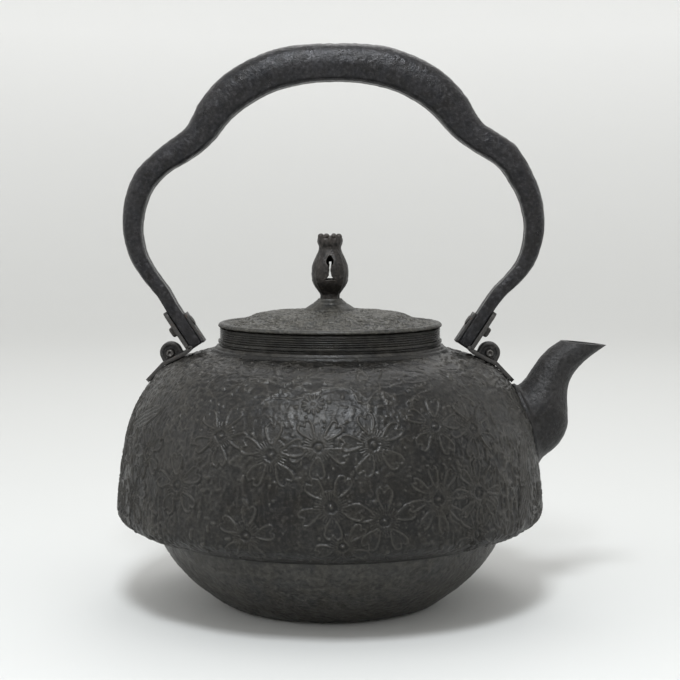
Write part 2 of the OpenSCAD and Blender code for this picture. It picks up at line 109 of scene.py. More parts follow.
def lay_mesh(name, points, quads, caps=(), high=None):
    """A smooth-shaded mesh object from millimetre points, with an attribute for how pale each point is
    painted.
    """
    mesh = bpy.data.meshes.new(name)
    quads = np.asarray(quads, np.int32)
    loops = np.concatenate([quads.ravel()] + [np.asarray(cap, np.int32) for cap in caps])
    sizes = np.concatenate([np.full(len(quads), 4, np.int32),
                            np.array([len(cap) for cap in caps], np.int32)]).astype(np.int32)
    mesh.vertices.add(len(points))
    mesh.vertices.foreach_set("co", (np.asarray(points) * MM).astype(np.float32).ravel())
    mesh.loops.add(len(loops))
    mesh.loops.foreach_set("vertex_index", loops.astype(np.int32))
    mesh.polygons.add(len(sizes))
    starts = np.append(0, np.cumsum(sizes)[:-1]).astype(np.int32)
    mesh.polygons.foreach_set("loop_start", starts)
    mesh.polygons.foreach_set("use_smooth", np.ones(len(sizes), bool))
    mesh.update(calc_edges=True)
    mesh.validate()
    layer = mesh.attributes.new("pale_tone", "FLOAT", "POINT")
    layer.data.foreach_set("value", np.asarray(
        np.zeros(len(points)) if high is None else high, np.float32))
    piece = bpy.data.objects.new(name, mesh)
    bpy.context.scene.collection.objects.link(piece)
    return piece


def outward(line):
    """Unit normals of a profile that runs down the outside and back up the inside."""
    along = np.gradient(line, axis=0)
    along /= np.linalg.norm(along, axis=1)[:, None] + 1e-9
    return np.column_stack([-along[:, 1], along[:, 0]])


def grid_quads(rows, columns, closed=True, flip=False):
    """Faces between neighbouring rows of points. A closed row joins its last to its first."""
    faces_across = columns if closed else columns - 1
    i, j = np.meshgrid(np.arange(rows - 1), np.arange(faces_across), indexing="ij")
    i, j = i.ravel(), j.ravel()
    k = (j + 1) % columns
    quads = np.column_stack([i * columns + j, (i + 1) * columns + j,
                             (i + 1) * columns + k, i * columns + k])
    return quads[:, [0, 3, 2, 1]] if flip else quads


def turned(name, line, columns, cut=None, keep=None, ends=True):
    """A body of revolution. cut gives the depth taken off at each point and how pale it is painted:
    mostly wear, and on the shell's hem lip a painted highlight.
    """
    angle = np.arange(columns) * 2 * np.pi / columns
    side = outward(line)
    rows = len(line)
    a = np.tile(angle, rows)
    r, z = np.repeat(line[:, 0], columns), np.repeat(line[:, 1], columns)
    nr, nz = np.repeat(side[:, 0], columns), np.repeat(side[:, 1], columns)
    pale_share = np.zeros(len(a))
    if cut:
        depth, pale_share = cut(a, r, z)
        r = np.maximum(r - depth * nr, 0.02)
        z = z - depth * nz
    points = round_axis(a, r, z)
    quads = grid_quads(rows, columns)
    if keep is not None:
        quads = quads[keep(points[quads].mean(axis=1))]
    caps = []
    if ends and line[0, 0] < 1:
        caps.append(np.arange(columns))
    if ends and line[-1, 0] < 1:
        caps.append(np.arange(columns)[::-1] + (rows - 1) * columns)
    return lay_mesh(name, points, quads, caps, pale_share)


def iron(name, deep, pale_tone, rough, grain_mm, grain_deep, patch_mm=16, rust=0.0, metal=0.3,
         pits=0.0, edge=0.4, gloss=0.5, painted_recess_shade=0.0):
    """Blackened iron: two tones in patches, pale worn edges, and a sandy or hammered skin. Where the
    mesh's pale attribute is high the colour goes pale, which on the shell's hem lip is a painted
    highlight; where it is low, an optional painted shade darkens the low relief.
    """
    material = bpy.data.materials.new(name)
    material.use_nodes = True
    nodes, links = material.node_tree.nodes, material.node_tree.links
    shader = nodes["Principled BSDF"]
    shader.inputs["Metallic"].default_value = metal
    shader.inputs["IOR"].default_value = 1.5
    shader.inputs["Specular IOR Level"].default_value = gloss
    place = nodes.new("ShaderNodeTexCoord")

    def noise(size_mm, detail, roughness=0.6):
        """Cloudy noise with lumps about size_mm across."""
        node = nodes.new("ShaderNodeTexNoise")
        node.inputs["Scale"].default_value = 1 / (size_mm * MM)
        node.inputs["Detail"].default_value = detail
        node.inputs["Roughness"].default_value = roughness
        links.new(place.outputs["Object"], node.inputs["Vector"])
        return node.outputs["Fac"]

    def between(value, low, high, to_low=0.0, to_high=1.0):
        """Spreads a value from one range to another."""
        node = nodes.new("ShaderNodeMapRange")
        node.inputs["From Min"].default_value = low
        node.inputs["From Max"].default_value = high
        node.inputs["To Min"].default_value = to_low
        node.inputs["To Max"].default_value = to_high
        links.new(value, node.inputs["Value"])
        return node.outputs["Result"]

    def blend(share, a, b):
        """Mixes two colours, each plain or from a node, by the share of the second."""
        node = nodes.new("ShaderNodeMix")
        node.data_type = "RGBA"
        links.new(share, node.inputs["Factor"])
        for socket, value in ((node.inputs["A"], a), (node.inputs["B"], b)):
            if isinstance(value, tuple):
                socket.default_value = (*value, 1)
            else:
                links.new(value, socket)
        return node.outputs["Result"]

    middle = tuple((a + b) / 2 for a, b in zip(deep, pale_tone))
    cool = tuple(c * k for c, k in zip(deep, (0.92, 1.0, 1.22)))
    warm = tuple(c * k for c, k in zip(deep, (1.3, 1.12, 0.86)))
    tint = blend(between(noise(patch_mm * 0.3, 3), 0.38, 0.62), cool, warm)
    tone = blend(between(noise(patch_mm, 5), 0.35, 0.68, 0, 0.6), tint, middle)
    speckle = noise(grain_mm * 1.6, 3)
    tone = blend(between(speckle, 0.52, 0.7, 0, 0.6), tone, pale_tone)
    tone = blend(between(speckle, 0.46, 0.34, 0, 0.7), tone, tuple(c * 0.3 for c in deep))
    height = nodes.new("ShaderNodeAttribute")
    height.attribute_name = "pale_tone"
    # Points whose attribute is high go pale: wear on raised relief and edges, and on the shell's hem lip
    # a painted highlight.
    tone = blend(between(height.outputs["Fac"], 0.25, 1.0, 0, edge), tone, pale_tone)
    # Painted shade: where the relief is low, the colour is darkened towards a fifth of the deep tone,
    # for the shade that falls in the recesses.
    if painted_recess_shade:
        tone = blend(between(height.outputs["Fac"], 0.34, 0.1, 0, painted_recess_shade), tone,
                     tuple(c * 0.2 for c in deep))
    corner = nodes.new("ShaderNodeNewGeometry")
    tone = blend(between(corner.outputs["Pointiness"], 0.505, 0.58, 0, edge), tone, pale_tone)
    if rust:
        brown = blend(noise(1.2, 2), (0.09, 0.035, 0.014), (0.2, 0.075, 0.03))
        tone = blend(between(noise(patch_mm * 0.55, 6, 0.7), 0.66 - 0.2 * rust, 0.8, 0, 0.8),
                     tone, brown)
    links.new(tone, shader.inputs["Base Color"])
    low, high = rough
    links.new(between(noise(patch_mm * 0.4, 6), 0.3, 0.7, low, high), shader.inputs["Roughness"])

    fine = nodes.new("ShaderNodeBump")
    fine.inputs["Strength"].default_value = 1.0
    fine.inputs["Distance"].default_value = grain_deep * MM
    links.new(noise(grain_mm, 3, 0.7), fine.inputs["Height"])
    if pits:
        cells = nodes.new("ShaderNodeTexVoronoi")
        cells.inputs["Scale"].default_value = 1 / (grain_mm * 3.2 * MM)
        links.new(place.outputs["Object"], cells.inputs["Vector"])
        hollow = nodes.new("ShaderNodeBump")
        hollow.inputs["Strength"].default_value = 1.0
        hollow.inputs["Distance"].default_value = pits * MM
        links.new(cells.outputs["Distance"], hollow.inputs["Height"])
        links.new(hollow.outputs["Normal"], fine.inputs["Normal"])
    links.new(fine.outputs["Normal"], shader.inputs["Normal"])
    return material


def finish_piece(piece, material, body, slot, *nodes):
    """Gives a piece its skin and its body, in place of the CAD nodes named; slot is not used."""
    piece.data.materials.append(material)
    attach(piece, body)
    if nodes:
        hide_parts(*nodes)


shell_high = box_mm("body_shell")[1]
hem_z = box_mm("base_bowl")[1][2]
body_r = shell_high[1]
neck_top = shell_high[2]
foot_r = 43
parting_r = 74
bowl_wall = 4.2
bowl_line = outline(
    ([(parting_r - bowl_wall, hem_z), (parting_r, hem_z)], 1),
    ([(parting_r, hem_z), (72.9, 29.9), (71, 25.5), (68.6, 21.4), (65.6, 17.3), (59.2, 10.4),
      (52.6, 5.1), (47.2, 1.2), (foot_r, 0)], 0.5),
    ([(foot_r, 0), (foot_r - 1.5, 0.5), (foot_r - 4, 0.6)], 0.4),
    ([(foot_r - 4, 0.6), (0.05, 0.6)], 0.6),
)
bowl_inside = outline(
    ([(0.05, 3.6), (38, 3.9), (44, 4.9), (50, 7.7), (56, 12.2), (62.4, 18), (67.4, 25.2),
      (parting_r - bowl_wall, hem_z)], 1.0),
)


def sand_skin(a, r, z):
    """Cast grain over the whole bowl, with a shallow gate scar under the foot."""
    p = round_axis(a, r, z)
    sand = 0.2 + 0.17 * grain(p, 1.3, 11) + 0.06 * grain(p, 2.6, 12)
    lumps = 0.05 + 0.05 * grain(p, 9, 13)
    under = (z < 1) & (r < 12)
    scar = np.where(under, 0.5 * np.clip((12 - r) / 3, 0, 1) * (0.6 + 0.4 * grain(p, 2, 14)), 0)
    rest = np.where((r < foot_r - 3) & (z < 1), 0, 1)
    return (sand + lumps) * rest - 0.8 * scar, 0.45 - 2.5 * (sand - 0.2)


bowl_iron = iron("bowl_iron", (0.012, 0.0117, 0.0108), (0.084, 0.08, 0.07), (0.38, 0.6), 0.9,
                 0.34, patch_mm=30, metal=0.25, edge=0.55)
bowl = turned("bowl_casting", bowl_line, 900, sand_skin)
finish_piece(bowl, bowl_iron, "kettle", "bowl_iron", "base_bowl")
bowl_lining = turned("bowl_lining", bowl_inside, 240, None)
finish_piece(bowl_lining, bowl_iron, "kettle", "bowl_iron")


# ---- Shell --------------------------------------------------------------------------
# The upper half: turned neck, domed shoulder, flaring sides and a hem that hangs over the
# bowl. It is one iron casting, and its blossoms were pressed into the mould, so they stand
# proud in thin ridges over a wrinkled ground.

neck_r = 46.4
mouth_r = 41
neck_h = 8.6
body_top = neck_top - neck_h
relief_deep = 0.95
ring_deep = 0.5


def ring_stack(top, low, count):
    """Fine turned rings, one under the other, as a wavy line down the neck."""
    z = np.linspace(top, low, 60)
    turn = (top - z) / (top - low) * count
    return [(neck_r - ring_deep * np.cos(np.pi * turn) ** 4, h) for turn, h in zip(turn, z)]


def on_side(share_r, share_z):
    """A point of the side, as shares from neck to widest and from hem to body top."""
    return neck_r + share_r * (body_r - neck_r), hem_z + share_z * (body_top - hem_z)


side_points = [on_side(*share) for share in (
    (0.05, 1.004), (0.141, 0.985), (0.344, 0.951), (0.485, 0.913), (0.597, 0.864),
    (0.69, 0.798), (0.767, 0.727), (0.843, 0.637), (0.904, 0.52), (0.952, 0.37),
    (0.985, 0.205), (0.999, 0.1))]
hem_points = [side_points[-1], (89.7, hem_z + 4.6), (88, hem_z + 2.5), (85.6, hem_z + 0.8),
              (82.4, hem_z - 0.8), (79, hem_z - 2), (77, hem_z - 2.6)]
steps_down = [(neck_r - ring_deep, body_top + 3.8), (neck_r + 0.7, body_top + 3.6),
              (neck_r + 0.7, body_top + 2.6), (neck_r - 0.1, body_top + 2.3),
              (neck_r - 0.1, body_top + 1.7), (neck_r + 1.4, body_top + 1.3),
              side_points[0]]
neck_line = outline(
    ([(mouth_r, neck_top), (neck_r - 0.2, neck_top)], 0.8),
    ([(neck_r - 0.2, neck_top), (neck_r, neck_top - 0.3)], 0.2),
    (ring_stack(neck_top - 0.3, body_top + 3.8, 5), 0.14),
    *[([a, b], 0.16) for a, b in zip(steps_down, steps_down[1:])],
)
side_line = curve(side_points, 0.38)
hem_line = curve(hem_points, 0.38)
under_line = outline(
    ([(77, hem_z - 2.6), (75.4, hem_z - 2.5), (parting_r + 0.35, hem_z - 2)], 0.4),
    ([(parting_r + 0.35, hem_z - 2), (parting_r + 0.35, hem_z)], 0.5),
)
inside_line = outline(
    ([(parting_r - bowl_wall, hem_z), (80, hem_z + 2.8), (85, hem_z + 6),
      (body_r - 3.7, hem_z + 10.6)], 2),
    ([(body_r - 3.7, hem_z + 10.6)] + [(r - 4.1, z - 2.4) for r, z in side_points[-3:2:-1]]
     + [(mouth_r + 3, body_top - 4.2), (mouth_r, body_top - 1)], 1.5),
    ([(mouth_r, body_top - 1), (mouth_r, neck_top)], 0.8),
)
shell_line = np.vstack([neck_line, side_line[1:], hem_line[1:], under_line[1:]])
shell_run = run_along(shell_line)
relief_first = len(neck_line)
relief_last = relief_first + len(side_line) + len(hem_line) - 8

petal = 2 * np.pi / 5


def blossom(u, v, size, turn, petals=5):
    """Height of an open blossom and how far inside a petal each point is, in mm."""
    part = 2 * np.pi / petals
    rho = np.hypot(u, v) / size
    phi = np.arctan2(v, u) - turn
    off = np.mod(phi + part / 2, part) - part / 2
    x, y = rho * np.cos(off), np.abs(rho * np.sin(off))
    t = np.clip((x - 0.3) / 0.7, 0, 1)
    wide = 1.72 * part / (2 * np.pi) * t ** 0.5 * (1 - t ** 6) ** 0.5
    tip = 1 - 0.13 * np.exp(-(y / 0.055) ** 2) - x
    depth = np.minimum(wide - y, tip) * size
    rim = np.exp(-((depth - 0.4) / 0.38) ** 2)
    ray = np.mod(phi + part / 12, part / 6) - part / 12
    fan = np.exp(-(ray * rho * size / 0.23) ** 2) * (rho > 0.18) * (rho < 0.48)
    eye = np.exp(-(rho * size / 0.75) ** 2)
    cup = 0.16 * np.clip(1 - rho / 0.5, 0, 1)
    height = np.where(depth > 0, 0.26 + 0.5 * rim, 0.06)
    height = np.maximum.reduce([height, 0.14 + 0.62 * fan, 0.2 + 0.65 * eye]) - cup * (1 - eye)
    return height, np.maximum(depth, (0.5 - rho) * size)


def star(u, v, size):
    """Height of a small many-rayed flower, and the depth inside it."""
    rho = np.hypot(u, v) / size
    rays = 0.5 + 0.5 * np.cos(13 * np.arctan2(v, u))
    height = 0.15 + 0.6 * rays * np.clip(rho * 2, 0, 1) + 0.6 * np.exp(-(rho * size / 0.7) ** 2)
    return height, (1 - rho - 0.12 * (1 - rays)) * size


def leaf(u, v, size, turn):
    """Height of a long smooth leaf with fine veins along it, and the depth inside it."""
    x, y = u * math.cos(turn) + v * math.sin(turn), v * math.cos(turn) - u * math.sin(turn)
    long = np.clip(1 - (x / size) ** 2, 0, 1)
    depth = (long * 0.34 - np.abs(y) / size) * size
    veins = 0.18 * np.sin(y * 3.4 + 0.5 * np.sin(x * 0.9))
    return 0.4 + veins + 0.3 * np.exp(-((depth - 0.35) / 0.3) ** 2), depth


def plan_relief():
    """Where each flower stands: kind, degrees round from the front, height, size, turn."""
    front = [
        ("blossom", -41.5, 60.0, 12.6, 0.5), ("blossom", -29.8, 80.4, 12.4, 1.1),
        ("blossom", -20.2, 44.5, 11.6, 0.2), ("blossom", 3.5, 41.0, 11.0, 0.8),
        ("blossom", 39.3, 41.5, 11.4, 1.0), ("blossom", 42.2, 81.5, 12.4, 0.6),
        ("blossom", 29.6, 84.0, 12.0, 0.1), ("blossom", -2.5, 77.7, 12.2, 0.9),
        ("blossom", 13.6, 50.2, 12.6, 0.3), ("blossom", 0.5, 56.2, 12.8, 1.05),
        ("blossom", 11.7, 78.2, 13.0, 0.55), ("full_blossom", 27.9, 56.8, 13.4, 0.15),
        ("full_blossom", 40.5, 57.5, 12.6, 0.75), ("blossom", -14.6, 74.5, 13.2, 0.32),
        ("star", -4.5, 93.0, 4.4, 0.0), ("leaf", 61.0, 50.0, 13.0, 0.9),
    ]
    rng = np.random.default_rng(7)
    rest = []
    for _ in range(900):
        angle, z = rng.uniform(62, 306), rng.uniform(41, 90)
        size, turn = rng.uniform(10.5, 13.2), rng.uniform(0, petal)
        kind = rng.choice(["blossom"] * 5 + ["full_blossom"] * 2 + ["leaf", "star"])
        if abs(angle - 90) < 17 and z > 52:
            continue
        near = [abs((angle - f[1] + 180) % 360 - 180) * 1.5 + abs(z - f[2]) * 1.15
                for f in front + rest]
        if min(near) > 21:
            rest.append((kind, angle, z, {"star": 4.4, "leaf": 13}.get(kind, size), turn))
    return rest + front


flowers = plan_relief()
shell_columns = 1440


def relief(a, r, z):
    """Depth below the outline of each point of the shell, and how pale it is painted: wear on the relief
    and neck, and a painted highlight along the hem's lip.
    """
    rows = len(a) // shell_columns
    p = round_axis(a, r, z)
    high = np.zeros(len(a))
    first, last = relief_first * shell_columns, relief_last * shell_columns
    zone = slice(first, last)
    q = p[zone]
    run = np.repeat(shell_run[relief_first:relief_last], shell_columns)
    side = np.abs(np.sin(np.arctan2(q[:, 0], -q[:, 1])))
    upper = np.clip((z[zone] - 84) / 12, 0, 1)
    bare = np.clip((side - 0.45) / 0.35, 0, 1)
    bend = 0.8 * grain(q, 4, 20)[:, None]
    creases = 1 - np.abs(grain(q * (1, 1, 0.4) + bend, 2.1, 21) + 0.4 * grain(q, 1.4, 22))
    strokes = 1 - np.abs(grain(q * (0.45, 0.45, 1.6) + bend, 2.4, 23) + 0.3 * grain(q, 1.3, 22))
    crepe = np.clip(creases, 0, 1) ** 2.5 * (1 - upper) + np.clip(strokes, 0, 1) ** 3 * upper
    patchy = 0.55 + 0.45 * grain(q, 14, 19)
    ground = 0.12 + (0.34 + 0.6 * bare + 0.16 * upper) * crepe * patchy + 0.1 * grain(q, 1.2, 24)
    cloud = grain(q * (1, 1, 1.5), 15, 25) + 0.35 * grain(q, 6, 26)
    ground += 0.34 * np.exp(-(cloud / 0.035) ** 2) * (0.15 + 0.85 * upper)
    speck = grain(q, 1.7, 27)
    ground += 0.45 * np.clip((speck - 0.56) / 0.2, 0, 1)
    height = ground
    around = a[zone]
    for kind, angle, flower_z, size, turn in flowers:
        centre = math.radians(angle - 90)
        row = np.argmin(np.abs(shell_line[relief_first:relief_last - 30, 1] - flower_z))
        row_run = shell_run[relief_first + row]
        off = np.mod(around - centre + np.pi, 2 * np.pi) - np.pi
        near = np.flatnonzero((np.abs(run - row_run) < size * 1.1)
                              & (np.abs(off) * r[zone] < size * 1.1))
        u, v = off[near] * r[zone][near], row_run - run[near]
        wobble = 0.35 * grain(q[near], 4.5, 31)
        if kind == "blossom":
            h, depth = blossom(u + wobble, v - wobble, size, turn)
        elif kind == "full_blossom":
            h, depth = blossom(u + wobble, v - wobble, size, turn, petals=8)
        elif kind == "star":
            h, depth = star(u, v, size)
        else:
            h, depth = leaf(u, v, size, turn)
        inside = depth > 0
        shade = np.clip((depth + 0.7) / 0.7, 0, 1)
        old = height[near]
        height[near] = np.where(inside, h + 0.25 * (old - 0.25),
                                old * (1 - 0.6 * shade))
    fade = np.minimum(np.clip((run - run[0]) / 2.5, 0, 1), np.clip((run[-1] - run) / 5, 0, 1))
    high[zone] = np.clip(height, 0, relief_deep) * fade
    outside = slice(0, last)
    depth = np.zeros(len(a))
    depth[zone] = (relief_deep - high[zone]) * np.clip((run - run[0]) / 1.5, 0, 1)
    hem = slice(last, rows * shell_columns)
    depth[hem] = relief_deep * np.clip(1 - (np.arange(rows * shell_columns - last)
                                            / shell_columns) / 8, 0, 1)
    depth[hem] += 0.12 * (0.5 + 0.5 * grain(p[hem], 3, 28))
    lip = np.exp(-((z[hem] - hem_z + 1.5) / 0.4) ** 2) * (r[hem] > 77)
    depth[hem] -= 0.4 * lip
    pale_share = np.zeros(len(a))
    # The relief's height sets how pale it is painted: pale wear on the high points, and the shell's iron
    # paints shade where it is low.
    pale_share[outside] = high[outside] / relief_deep
    # Painted highlight: a pale line painted along the bead of the hem's lip.
    pale_share[hem] = 1.6 * lip
    neck = slice(0, first)
    pale_share[neck] = 0.35 + 0.3 * grain(p[neck], 3, 29)
    depth[neck] += 0.05 + 0.05 * grain(p[neck], 1.6, 30)
    depth[:shell_columns] = 0
    return depth, pale_share


spout_hole_z = box_mm("spout")[0][2] + 16.5


def beside_spout(centres):
    """Which faces of the shell stay, clear of the channel behind the spout."""
    across, up = centres[:, 1] / 9.8, (centres[:, 2] - spout_hole_z - 2) / 12.4
    return (centres[:, 0] < 0) | (across ** 2 + up ** 2 > 1)


# The shell's iron paints shade into the low parts of its relief.
shell_iron = iron("relief_iron", (0.0056, 0.0054, 0.0049), (0.048, 0.045, 0.039), (0.27, 0.5),
                  0.8, 0.14, patch_mm=22, metal=0.22, edge=0.5, gloss=0.36, painted_recess_shade=0.55)
shell = turned("shell_casting", shell_line, shell_columns, relief, beside_spout)
finish_piece(shell, shell_iron, "kettle", "relief_iron", "body_shell")
inside_iron = iron("inside_iron", (0.014, 0.013, 0.013), (0.05, 0.042, 0.036), (0.55, 0.75), 0.9,
                   0.08, rust=0.3, metal=0.2)
shell_lining = turned("shell_lining", inside_line, 360, None, beside_spout)
finish_piece(shell_lining, inside_iron, "kettle", "relief_iron")


# ---- Spout --------------------------------------------------------------------------
# A short pouring spout with a full belly, a narrow neck and a slanting beak. It is cast
# hollow over a sand core, in one pour with the shell, and left with its sandy skin.

spout_wall = 2.4
spout_w = 25
spout_x = body_r - 7.3
spout_z = hem_z + 0.555 * (body_top - hem_z)
# Upper edge out and up, lower edge out and up, share of the full width.
spout_steps = [(-16, 13.4, -12, -18.5, 1), (-9, 14.6, 1.5, -17.6, 1),
               (-3.6, 16.4, 9.3, -12.9, 0.99), (-0.8, 18.8, 14.6, -8.0, 0.94),
               (1.1, 21.3, 17.6, -1.5, 0.85), (2.4, 23.5, 17.8, 5, 0.76),
               (3.9, 25.8, 17.5, 11.5, 0.68), (5.6, 28.1, 18.2, 17, 0.63),
               (7.7, 30.4, 20.2, 21.4, 0.59), (10, 32.5, 23.3, 25.2, 0.57),
               (12.3, 34.1, 27.3, 28.7, 0.55), (14.3, 35.4, 33.8, 33.4, 0.5)]
spout_columns = 220


def spout_rings(wall, steps):
    """Rings of points round the spout, wall millimetres inside its skin."""
    u = np.arange(spout_columns) * 2 * np.pi / spout_columns
    rings = []
    for up_x, up_z, low_x, low_z, share in steps:
        up, low = np.array([up_x, up_z]), np.array([low_x, low_z])
        middle, tall = (up + low) / 2, np.linalg.norm(up - low)
        axis = (up - low) / tall
        reach = (tall / 2 - wall) * np.cos(u)
        rings.append(np.column_stack([
            spout_x + middle[0] + axis[0] * reach, (spout_w / 2 * share - wall) * np.sin(u),
            spout_z + middle[1] + axis[1] * reach]))
    return np.array(rings)


def seat_on_side(points, deep, fillet=0.0):
    """Brings buried points out to deep millimetres under the side, and swells the root."""
    flat = points.reshape(-1, 3)
    order = np.argsort(shell_line[relief_first:relief_last, 1])
    heights = shell_line[relief_first:relief_last][order]
    surface = np.interp(flat[:, 2], heights[:, 1], heights[:, 0]) - deep
    radius = np.hypot(flat[:, 0], flat[:, 1])
    if fillet:
        above = radius - surface - deep
        swell = fillet * np.clip(1 - above / 2.6, 0, 1) ** 2
        middle = np.array([spout_x, 0, spout_z - 1])
        away = flat - middle
        away[:, 0] = 0
        flat = flat + away / (np.linalg.norm(away, axis=1)[:, None] + 1e-6) * swell[:, None]
        radius = np.hypot(flat[:, 0], flat[:, 1])
    push = np.where(radius < surface, surface / radius, 1)
    flat = flat * np.column_stack([push, push, np.ones(len(flat))])
    return flat.reshape(points.shape)


def spout_casting():
    """The spout: its sandy skin, the rounded lip and the bore back to the root, as one."""
    skin = seat_on_side(spout_rings(0.0, curve(spout_steps, 0.55)), 1.4, fillet=1.5)
    bore = seat_on_side(spout_rings(spout_wall, curve(spout_steps, 1.2)), 3.9)[::-1]
    lip = np.array([skin[-1] * 0.72 + bore[0] * 0.28, skin[-1] * 0.3 + bore[0] * 0.7])
    rings = np.concatenate([skin, lip, bore])
    points = rings.reshape(-1, 3)
    away = points - np.repeat(rings.mean(axis=1), spout_columns, axis=0)
    away /= np.linalg.norm(away, axis=1)[:, None] + 1e-6
    sand = 0.16 + 0.1 * grain(points, 1.2, 41) + 0.05 * grain(points, 5, 42)
    sand[: spout_columns * 2] = 0
    points = points - away * sand[:, None]
    return lay_mesh("spout_casting", points, grid_quads(len(rings), spout_columns, flip=True),
                    high=0.35 - 3 * (sand - 0.16))


spout_iron = iron("spout_iron", (0.0046, 0.0045, 0.0047), (0.038, 0.036, 0.036), (0.34, 0.54), 0.8,
                  0.26, patch_mm=18, metal=0.22, edge=0.45, gloss=0.34)
finish_piece(spout_casting(), spout_iron, "kettle", "spout_iron", "spout")


# ---- Lugs ---------------------------------------------------------------------------
# Two round-headed ears cast on the shoulder, each pierced for its cross pin, with a
# hollow round the hole on both faces.


def top_of_side(x):
    """Height of the shoulder x millimetres out from the kettle's middle."""
    line = shell_line[relief_first:relief_last]
    order = np.argsort(line[:, 0])
    return np.interp(x, line[order, 0], line[order, 1])


def side_slope(x):
    """Slope of the shoulder there, in radians."""
    return math.atan2(top_of_side(x + 2.5) - top_of_side(x - 2.5), 5)


strap_t, strap_w, strap_up = 1.7, 11.6, 20
leg_angle = math.radians(57)
lug_x, lug_r, lug_t = 65.6, 4.7, 4.8
pin_r = 1.6
lug_rise = strap_t + pin_r + 0.1
lug_slope = side_slope(lug_x)


def at_lug(points, side):
    """From a lug's own frame, x along the shoulder, y across and z off it, to the kettle's."""
    p = np.asarray(points, float)
    c, s = math.cos(lug_slope), math.sin(lug_slope)
    x = lug_x + p[:, 0] * c - p[:, 2] * s
    z = top_of_side(lug_x) + p[:, 0] * s + p[:, 2] * c
    return np.column_stack([side * x, side * p[:, 1], z])


def rounded(piece):
    """Rounds a coarse piece off by dividing its faces once."""
    smooth = piece.modifiers.new("rounding", "SUBSURF")
    smooth.levels = smooth.render_levels = 1
    return piece


name_of = {1: "right", -1: "left"}


def lug_casting(side):
    """One lug: rings from the rounded edge in to the hollow and the bore."""
    n = 96
    turn = np.linspace(-np.pi / 2, 1.5 * np.pi, n, endpoint=False)
    # Each ring: radius of the round head, distance from the middle, and depth of the foot.
    half = [(lug_r, 0.0, 1), (lug_r, lug_t / 2 - 0.55, 1), (lug_r - 0.18, lug_t / 2 - 0.2, 1),
            (lug_r - 0.6, lug_t / 2, 1), (lug_r - 1.35, lug_t / 2, 0.6),
            (lug_r - 1.7, lug_t / 2 - 0.45, 0.2), (pin_r + 0.6, lug_t / 2 - 0.5, 0),
            (pin_r + 0.12, lug_t / 2 - 0.62, 0), (pin_r, lug_t / 2 - 0.9, 0)]
    rings = []
    for face in (-1, 1):
        for radius, off, foot in half[::-1] if face < 0 else half[1:]:
            x, z = radius * np.cos(turn), radius * np.sin(turn)
            down = np.sin(turn) < 0
            sx = np.where(down & (foot > 0), radius * np.sign(np.cos(turn) + 1e-9)
                          * np.minimum(1, np.abs(np.cos(turn)) * 1.6), x)
            sz = np.where(down, z * (1 + foot * (3 + lug_rise - radius) / radius), z)
            rings.append(np.column_stack([np.where(down, sx * foot + x * (1 - foot), x),
                                          np.full(n, face * off), lug_rise + sz]))
    points = np.concatenate(rings)
    points += 0.07 * np.column_stack([grain(points, 1.3, seed) for seed in (51, 52, 53)])
    quads = grid_quads(len(rings), n, flip=True)[:, ::-1]
    return rounded(lay_mesh("lug_%s_casting" % name_of[side], at_lug(points, side), quads,
                            high=np.full(len(points), 0.3)))


lug_iron = iron("lug_iron", (0.01, 0.01, 0.0105), (0.075, 0.07, 0.064), (0.4, 0.6), 0.5, 0.06,
                patch_mm=6, metal=0.35, edge=0.6)
for side in (1, -1):
    finish_piece(lug_casting(side), lug_iron, "kettle", "relief_iron", "lug_" + name_of[side])


# ---- Cross pins ---------------------------------------------------------------------
# A short forged pin driven through each lug, above the strap, to hold the strap down. Its
# ends are chamfered and still show the dimple of the punch.

pin_iron = iron("pin_iron", (0.012, 0.0115, 0.011), (0.1, 0.094, 0.088), (0.32, 0.5), 0.4, 0.03,
                patch_mm=4, rust=0.05, metal=0.6, edge=0.6)
pin_half = strap_w / 2 - 0.4


def cross_pin(side):
    """One pin: a turned bar with chamfered, dimpled ends, laid across its lug."""
    line = outline(
        ([(0.05, -pin_half + 0.5), (0.7, -pin_half + 0.2), (0.9, -pin_half)], 0.15),
        ([(0.9, -pin_half), (pin_r - 0.3, -pin_half + 0.05), (pin_r, -pin_half + 0.45)], 0.15),
        ([(pin_r, -pin_half + 0.45), (pin_r, pin_half - 0.45)], 0.5),
        ([(pin_r, pin_half - 0.45), (pin_r - 0.3, pin_half - 0.05), (0.9, pin_half)], 0.15),
        ([(0.9, pin_half), (0.7, pin_half - 0.2), (0.05, pin_half - 0.5)], 0.15))
    n = 48
    a = np.tile(np.arange(n) * 2 * np.pi / n, len(line))
    r, y = np.repeat(line[:, 0], n), np.repeat(line[:, 1], n)
    points = np.column_stack([r * np.cos(a), y, r * np.sin(a)])
    points += 0.03 * grain(points, 0.9, 55)[:, None]
    caps = [np.arange(n), np.arange(n)[::-1] + (len(line) - 1) * n]
    points[:, 2] += lug_rise
    return lay_mesh("lug_pin_%s_forged" % name_of[side], at_lug(points, side),
                    grid_quads(len(line), n), caps,
                    high=np.clip(np.abs(points[:, 1]) - pin_half + 1, 0, 1) * 0.8)


for side in (1, -1):
    finish_piece(cross_pin(side), pin_iron, "kettle", "forged_iron", "lug_pin_" + name_of[side])


# ---- Straps -------------------------------------------------------------------------
# A flat iron strap riveted to each end of the handle. Its lower leg is slotted, drops over
# the lug and turns down along the shoulder behind it.

strap_seat = 0.15
touch_x = lug_x + 0.4
touch_slope = math.tan(side_slope(touch_x))
bend_x = lug_x - 7.9
bend_z = top_of_side(touch_x) - strap_seat + touch_slope * (bend_x - touch_x)
turn_x, end_x = lug_x + 4.4, lug_x + 11.4
turn_z = bend_z + touch_slope * (turn_x - bend_x)
end_z = turn_z + math.tan(side_slope(turn_x + 3.6)) * (end_x - turn_x)


